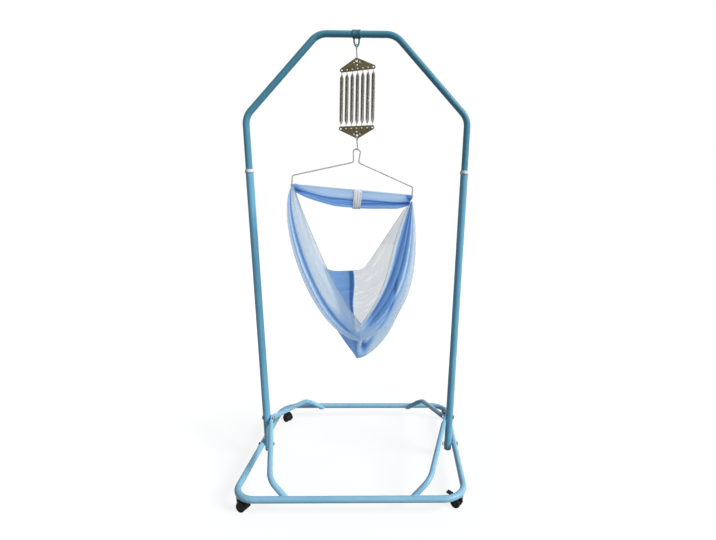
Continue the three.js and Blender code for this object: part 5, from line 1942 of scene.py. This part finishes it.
    def sling_places(self, along: np.ndarray, across: np.ndarray) -> np.ndarray:
        """Shapes the sling without its folds, as one rational cubic for each half of a curve.

        Args:
            along: from -1 at the left gather to 1 at the right one.
            across: from 0 at the front hem to 1 at the back hem, of the same length as along.

        Returns:
            One place for each pair, in the turned frame.
        """
        on_left = (along < 0)[:, None]
        middle = smooth_table(self.stations, self.middles, across)
        both = (self.left_handles, self.right_handles)
        left, right = (smooth_table(self.stations, table, across) for table in both)
        handles = np.where(on_left, left, right)
        sign = np.where(along < 0, -1.0, 1.0)
        ends = np.where(on_left, self.rod_end(-1), self.rod_end(1))
        centre = (self.rod_end(-1) + self.rod_end(1)) / 2
        low_x = centre[0] + middle[:, 0] * self.half_span
        low_y = middle[:, 1] * self.sling_half_depth
        low_z = centre[2] - self.sling_drop * (1 - middle[:, 2])
        spread = 2 * across - 1
        top_x = ends[:, 0] + sign * (self.rod_overhang / 2 - self.gather_width * spread**2)
        top_y = self.gather_depth * spread
        top_z = ends[:, 2] - self.rod_radius - 0.4 - self.right_drop * (along >= 0)
        width, height = np.abs(low_x - top_x), top_z - low_z
        out, down, low_out, up = handles.T
        low = np.column_stack([low_x, low_y, low_z])
        far = np.column_stack([low_x + sign * low_out * width, low_y, low_z + up * height])
        near_y = top_y + (low_y - top_y) * down
        near = np.column_stack([top_x + sign * out * width, near_y, top_z - down * height])
        top = np.column_stack([top_x, top_y, top_z])
        t = np.abs(along)[:, None]
        pull = 1 + self.back_pull * swell(across, 0.8, 1.0)[:, None]
        weights = ((1 - t) ** 3, 3 * (1 - t) ** 2 * t * pull, 3 * (1 - t) * t**2 * pull, t**3)
        return sum(w * p for w, p in zip(weights, (low, far, near, top))) / sum(weights)

    def drift(self, along: np.ndarray) -> np.ndarray:
        """How far the lengthwise folds wander across the cloth."""
        return 0.012 * np.sin(3.1 * along + 1.0)

    def wrap(self, along: np.ndarray) -> np.ndarray:
        """The crease where the right fall wraps over to the bottom: its place across the cloth."""
        return 0.30 - 0.42 * np.clip(along - 0.12, 0, 0.45)

    def near_wrap(self, along: np.ndarray) -> np.ndarray:
        """How strong that crease is along the cloth."""
        return swell(along, 0.1, 0.2) * (1 - swell(along, 0.42, 0.56))

    def swirl(self, along: np.ndarray, across: np.ndarray) -> np.ndarray:
        """The twist of cloth tucked under the roll: a spiral wave that fades out round its middle.

        Args:
            along: from -1 at the left gather to 1 at the right one.
            across: from 0 at the front hem to 1 at the back hem.

        Returns:
            The wave's height, from -1 to 1.
        """
        x, y = (along - 0.1) / 0.14, (across - 0.455) / 0.07
        far = np.sqrt(x * x + y * y)
        return np.sin(2.0 * np.arctan2(y, x) + 5.0 * far) * np.exp(-(far**2)) * swell(far, 0.0, 0.35)

    def sling_folds(self, along: np.ndarray, across: np.ndarray) -> np.ndarray:
        """Measures how far the sling's folds stand out of its smooth form.

        Args:
            along: from -1 at the left gather to 1 at the right one.
            across: from 0 at the front hem to 1 at the back hem.

        Returns:
            The height of the folds in millimetres.
        """
        reach, drift = np.abs(along), self.drift(along)
        left, right = swell(-along, -0.05, 0.3), swell(along, -0.05, 0.3)
        fold = 5.0 * ridge(across, 0.33, 0.03)
        for place, width, height in self.left_folds:
            fold += height * ridge(across, place + drift, width) * left
        for place, width, height in self.right_folds:
            fold += height * ridge(across, place - drift, width) * right
        fold += 5.0 * ridge(across, 0.10, 0.06) * left * swell(reach, 0.1, 0.5)
        fold -= 5.0 * ridge(across, 0.215 - drift, 0.014) * right * swell(reach, 0.2, 0.5)
        fold -= 7.0 * ridge(across, self.wrap(along), 0.02) * self.near_wrap(along)
        fold += 6.0 * self.swirl(along, across)
        waves = np.sin(2 * math.pi * (6.5 * across + 0.35 * np.sin(2.2 * along)))
        fold += 2.5 * waves * swell(across, 0.62, 0.72) * (1 - swell(across, 0.8, 0.97))
        pleats = np.sin(2 * math.pi * 13 * across + 0.8 * np.sin(5 * along))
        fold += 1.8 * pleats * swell(reach, 0.45, 0.9) * (1 - swell(reach, 0.955, 1.0))
        return fold * (1 - reach**6)

    def sling_layers_and_shade(self, along: np.ndarray, across: np.ndarray) -> np.ndarray:
        """Judges how deep the sling's colour looks: pale where single, deep blue where its folds bunch, with
        painted shade in grooves and creases and painted highlight on crests.

        Args:
            along: from -1 at the left gather to 1 at the right one.
            across: from 0 at the front hem to 1 at the back hem.

        Returns:
            The depth of colour, painted shade and highlight included, from 0 to 1.
        """
        reach, drift = np.abs(along), self.drift(along)
        left, right = swell(-along, -0.06, 0.14), swell(along, -0.02, 0.16)
        front = 1 - swell(across, 0.37, 0.385)
        # The left fall: a pale panel inside, and painted shade in two grooves beside one fold with a painted
        # highlight.
        edge = 0.05 + 0.14 * swell(reach, 0.0, 0.35)
        deep = toward(np.full_like(along, 0.3), 0.14, left * (1 - swell(across, edge - 0.02, edge + 0.03)))
        for place, width, dye_and_shade in ((0.215, 0.026, 0.42), (0.255, 0.011, -0.3), (0.282, 0.011, 0.34)):
            deep += left * front * dye_and_shade * ridge(across, place + drift, width)
        # The right fall: a pale hem, a deep blue bunch with painted shade in its two grooves, a painted
        # highlight on its crest, painted shade in the groove beyond, and a pale outer face.
        blue = right * swell(across, 0.035, 0.055) * (1 - swell(across, 0.165, 0.185))
        deep = toward(deep, 0.7, blue)
        for place, width in ((0.085, 0.014), (0.145, 0.013)):
            deep += right * 0.24 * ridge(across, place - drift, width)
        deep = toward(deep, 0.12, right * (1 - swell(across, 0.03, 0.045)))
        deep = toward(deep, 0.05, right * ridge(across, 0.185 - drift, 0.012) * swell(reach, 0.3, 0.5))
        deep += right * 0.3 * ridge(across, 0.213 - drift, 0.012)
        outer = right * front * swell(across, 0.225, 0.25) * swell(reach, 0.15, 0.35)
        deep = toward(deep, 0.2 - 0.12 * swell(across, 0.26, 0.32), outer)
        # Painted shade in the crease where the right fall wraps over to the bottom.
        deep += 0.4 * ridge(across, self.wrap(along), 0.018) * self.near_wrap(along)
        # The roll along the bottom with a painted highlight on its crest, and the pouch below it: facets
        # paler towards both sides, painted shade in the crease under the roll, and painted highlight and
        # shade following its twist.
        crest = ridge(across, 0.325 - 0.01 * left, 0.03 + 0.02 * swell(along, 0.1, 0.4))
        deep = toward(deep, 0.08, front * crest)
        facet = 0.55 - 0.12 * swell(across, 0.46, 0.56)
        facet -= 0.3 * swell(along, 0.12, 0.25) + 0.42 * swell(-along, 0.25, 0.4)
        deep = toward(deep, facet, (1 - front) * (1 - swell(across, 0.57, 0.62)))
        deep += 0.45 * ridge(across, 0.395, 0.02) * (1 - swell(reach, 0.1, 0.3))
        # Painted highlight where the twist stands out, and painted shade where it sinks.
        deep -= 0.45 * self.swirl(along, across)
        # The back wall: blue in the middle, deepened partly as painted shade; on the right, the ramp's grey
        # stop as painted shade of a single ply; and one dark fold of painted shade between them.
        back = swell(across, 0.6, 0.68)
        deep = toward(deep, 0.72 - 0.6 * swell(-along, 0.18, 0.3), back)
        fold = 0.02 + 0.07 * swell(across, 0.62, 1.0)
        deep = toward(deep, 0.0, back * swell(along, fold + 0.01, fold + 0.05))
        return np.clip(deep + back * 0.7 * ridge(along, fold, 0.022), 0, 1)

    def sling_grid(self, along: np.ndarray, across: np.ndarray, step: float = 1e-3) -> np.ndarray:
        """Shapes the folded sling.

        Args:
            along: from -1 at the left gather to 1 at the right one.
            across: from 0 at the front hem to 1 at the back hem, in the same shape as along.
            step: the distance over which the smooth form's slopes are taken.

        Returns:
            The places in the object's frame, in the same shape.
        """
        a, c = along.ravel(), across.ravel()
        smooth = []
        for da, dc in ((step, 0), (-step, 0), (0, step), (0, -step), (0, 0)):
            inner = np.where(a < 0, np.clip(a + da, -1, -1e-9), np.clip(a + da, 0, 1))
            smooth.append(self.sling_places(inner, np.clip(c + dc, 0, 1)))
        normal = np.cross(smooth[2] - smooth[3], smooth[0] - smooth[1])
        normal /= np.maximum(np.linalg.norm(normal, axis=1, keepdims=True), 1e-9)
        places = smooth[4] + normal * self.sling_folds(a, c)[:, None]
        return moved(places, self.turned).reshape(*along.shape, 3)

    def hem(self, hem: Hem) -> bpy.types.Object:
        """Makes the rolled edge of one hem and the row of stitches beside it.

        Args:
            hem: the hem.

        Returns:
            The piece.
        """
        along = np.linspace(-self.hem_stop, self.hem_stop, 181)
        edge, seam = (
            [Vector(p) for p in self.sling_grid(along, np.full_like(along, abs(hem.value - inset)))]
            for inset in (0.0, self.seam_inset)
        )
        values = {"Spacing": 4.0, "Thread": 0.3, "Finish": VOILE.material()}
        rolled = rod("rolled_edge", edge, self.hem_radius, VOILE, 8)
        stitches = STITCHES.grow("stitches", path_mesh("seam", seam), values)
        return piece(f"{hem.label}_hem", [rolled, stitches], self.body, "sky_cloth")

    def sling(self) -> None:
        """Drapes the sling as one sheet from gather to gather, with its folds, hems and depth of colour,
        which carries painted shade and highlight.
        """
        spaced = np.linspace(-1, 1, self.columns + 1)
        along, across = np.meshgrid(spaced, np.linspace(0, 1, self.rows + 1), indexing="ij")
        layers = self.sling_layers_and_shade(along, across)
        skin = cloth_mesh("sling", self.sling_grid(along, across), layers, self.cloth_cut[::-1], VOILE)
        cloth = piece("draped_sling", [skin], self.body, "sky_cloth", "cloth_sling", smooth=80)
        hems = [self.hem(edge) for edge in Hem]

    def build(self) -> None:
        """Builds the hanger and its cloth."""
        self.hanger()
        self.header()
        self.strap()
        self.sling()


# The photographer's corner


@dataclass
class Studio:
    """The floor, the backdrop, soft lamps and the camera."""

    eye: tuple[float, float, float] = (0.1655, -1.756, 1.0466)
    yaw: float = -0.0163
    pitch: float = 0.0977
    roll: float = 0.006
    lens: float = 22.63
    sensor: float = 36.0
    shift: Pair = (-0.0687, -0.0351)
    room_light: float = 0.1
    room_colour: str = "#e6edf6"
    floor_glow: float = 0.86
    floor_fade: Pair = (0.5, 1.3)
    floor_reach: float = 9.0
    floor_tones: tuple[tuple[float, str], ...] = ((0.3, "#77797c"), (0.7, "#7c7e80"))

    def camera(self) -> None:
        """Sets the camera where the photograph was taken from."""
        level = math.cos(self.pitch)
        ahead = Vector((-math.sin(self.yaw) * level, math.cos(self.yaw) * level, -math.sin(self.pitch)))
        right = Vector((math.cos(self.yaw), math.sin(self.yaw), 0))
        up = right.cross(ahead)
        across = right * math.cos(self.roll) + up * math.sin(self.roll)
        rise = up * math.cos(self.roll) - right * math.sin(self.roll)
        data = bpy.data.cameras.new("camera")
        data.sensor_width = self.sensor
        data.lens = self.lens
        data.shift_x, data.shift_y = self.shift
        camera = added("camera", data)
        turn = Matrix((across, rise, -ahead)).transposed().to_4x4()
        camera.matrix_world = Matrix.Translation(self.eye) @ turn
        bpy.context.scene.camera = camera

    def seen(self, tree: Tree) -> Node:
        """Adds the nodes that tell a camera, glossy or transmission ray from one that lights the object.

        Args:
            tree: the tree that gets the nodes.

        Returns:
            A node that gives one where the background shows as itself, and zero where it only gives light.
        """
        path = add_node(tree, "ShaderNodeLightPath")
        shown = path.outputs["Is Camera Ray"]
        for ray in ("Is Glossy Ray", "Is Transmission Ray"):
            shown = add_node(tree, "ShaderNodeMath", {0: shown, 1: path.outputs[ray]}, operation="MAXIMUM")
        return shown

    def world(self) -> None:
        """Lights the room evenly and weakly, and shows it as white to the camera and in metal."""
        world = bpy.data.worlds.new("room")
        bpy.context.scene.world = world
        world.use_nodes = True
        tree = world.node_tree
        tree.nodes.clear()
        dim = {"Color": linear(self.room_colour), "Strength": self.room_light}
        soft = add_node(tree, "ShaderNodeBackground", dim)
        white = add_node(tree, "ShaderNodeBackground", {"Color": WHITE, "Strength": 1.0})
        mix = add_node(tree, "ShaderNodeMixShader", {0: self.seen(tree), 1: soft, 2: white})
        add_node(tree, "ShaderNodeOutputWorld", {"Surface": mix})

    def floor(self) -> None:
        """Lays the pale floor, which keeps a soft shadow near the castors and fades to white further out."""
        material = bpy.data.materials.new("pale_studio_floor")
        material.use_nodes = True
        tree = material.node_tree
        tree.nodes.clear()
        place = add_node(tree, "ShaderNodeTexCoord").outputs["Object"]
        far = add_node(tree, "ShaderNodeVectorMath", {0: place}, operation="LENGTH").outputs["Value"]
        near, stop = self.floor_fade
        span = {"Value": far, "From Min": near, "From Max": stop, "To Min": self.floor_glow, "To Max": 1.0}
        fade = add_node(tree, "ShaderNodeMapRange", span)
        speck = add_node(tree, "ShaderNodeTexNoise", {"Vector": place, "Scale": 3.0})
        tone = add_node(tree, "ShaderNodeValToRGB", {"Fac": speck}, self.floor_tones)
        matt = add_node(tree, "ShaderNodeBsdfDiffuse", {"Color": tone})
        glow = add_node(tree, "ShaderNodeEmission", {"Color": WHITE, "Strength": fade})
        lit = add_node(tree, "ShaderNodeAddShader", {0: matt, 1: glow})
        mix = add_node(tree, "ShaderNodeMixShader", {0: self.seen(tree), 1: matt, 2: lit})
        add_node(tree, "ShaderNodeOutputMaterial", {"Surface": mix})
        mesh = bpy.data.meshes.new("floor")
        reach = self.floor_reach
        corners = [(-reach, -reach, 0), (reach, -reach, 0), (reach, reach, 0), (-reach, reach, 0)]
        mesh.from_pydata(corners, [], [(0, 1, 2, 3)])
        mesh.materials.append(material)
        floor = added("floor", mesh)

    def sun(self, name: str, towards: tuple[float, float, float], strength: float, softness: float) -> None:
        """Adds one far, soft lamp.

        Args:
            name: the lamp's name.
            towards: the direction from the object to the lamp.
            strength: the share of a colour that it brings out on a surface that faces it.
            softness: the lamp's apparent size in degrees.
        """
        data = bpy.data.lights.new(name, "SUN")
        data.energy = strength * math.pi
        data.angle = math.radians(softness)
        lamp = added(name, data)
        lamp.rotation_euler = Vector(towards).to_track_quat("Z", "Y").to_euler()

    def build(self) -> None:
        """Sets up the whole studio."""
        bpy.context.scene.view_settings.view_transform = "Standard"
        self.camera()
        self.world()
        self.floor()
        self.sun("key", (0.76, -0.34, 0.6), 0.88, 24.0)
        self.sun("fill", (0.3, -0.9, 0.35), 0.14, 40.0)


def main() -> None:
    """Builds the studio and every sub-assembly in order."""
    logging.basicConfig(level=logging.INFO, format="%(name)s %(message)s")
    Studio().build()
    Stand().build()
    for end in End:
        for side in Side:
            Castor(side, end, REST_TURNS[end, side]).build()
    Suspension().build()
    Cradle().build()


if __name__ == "__main__":
    main()
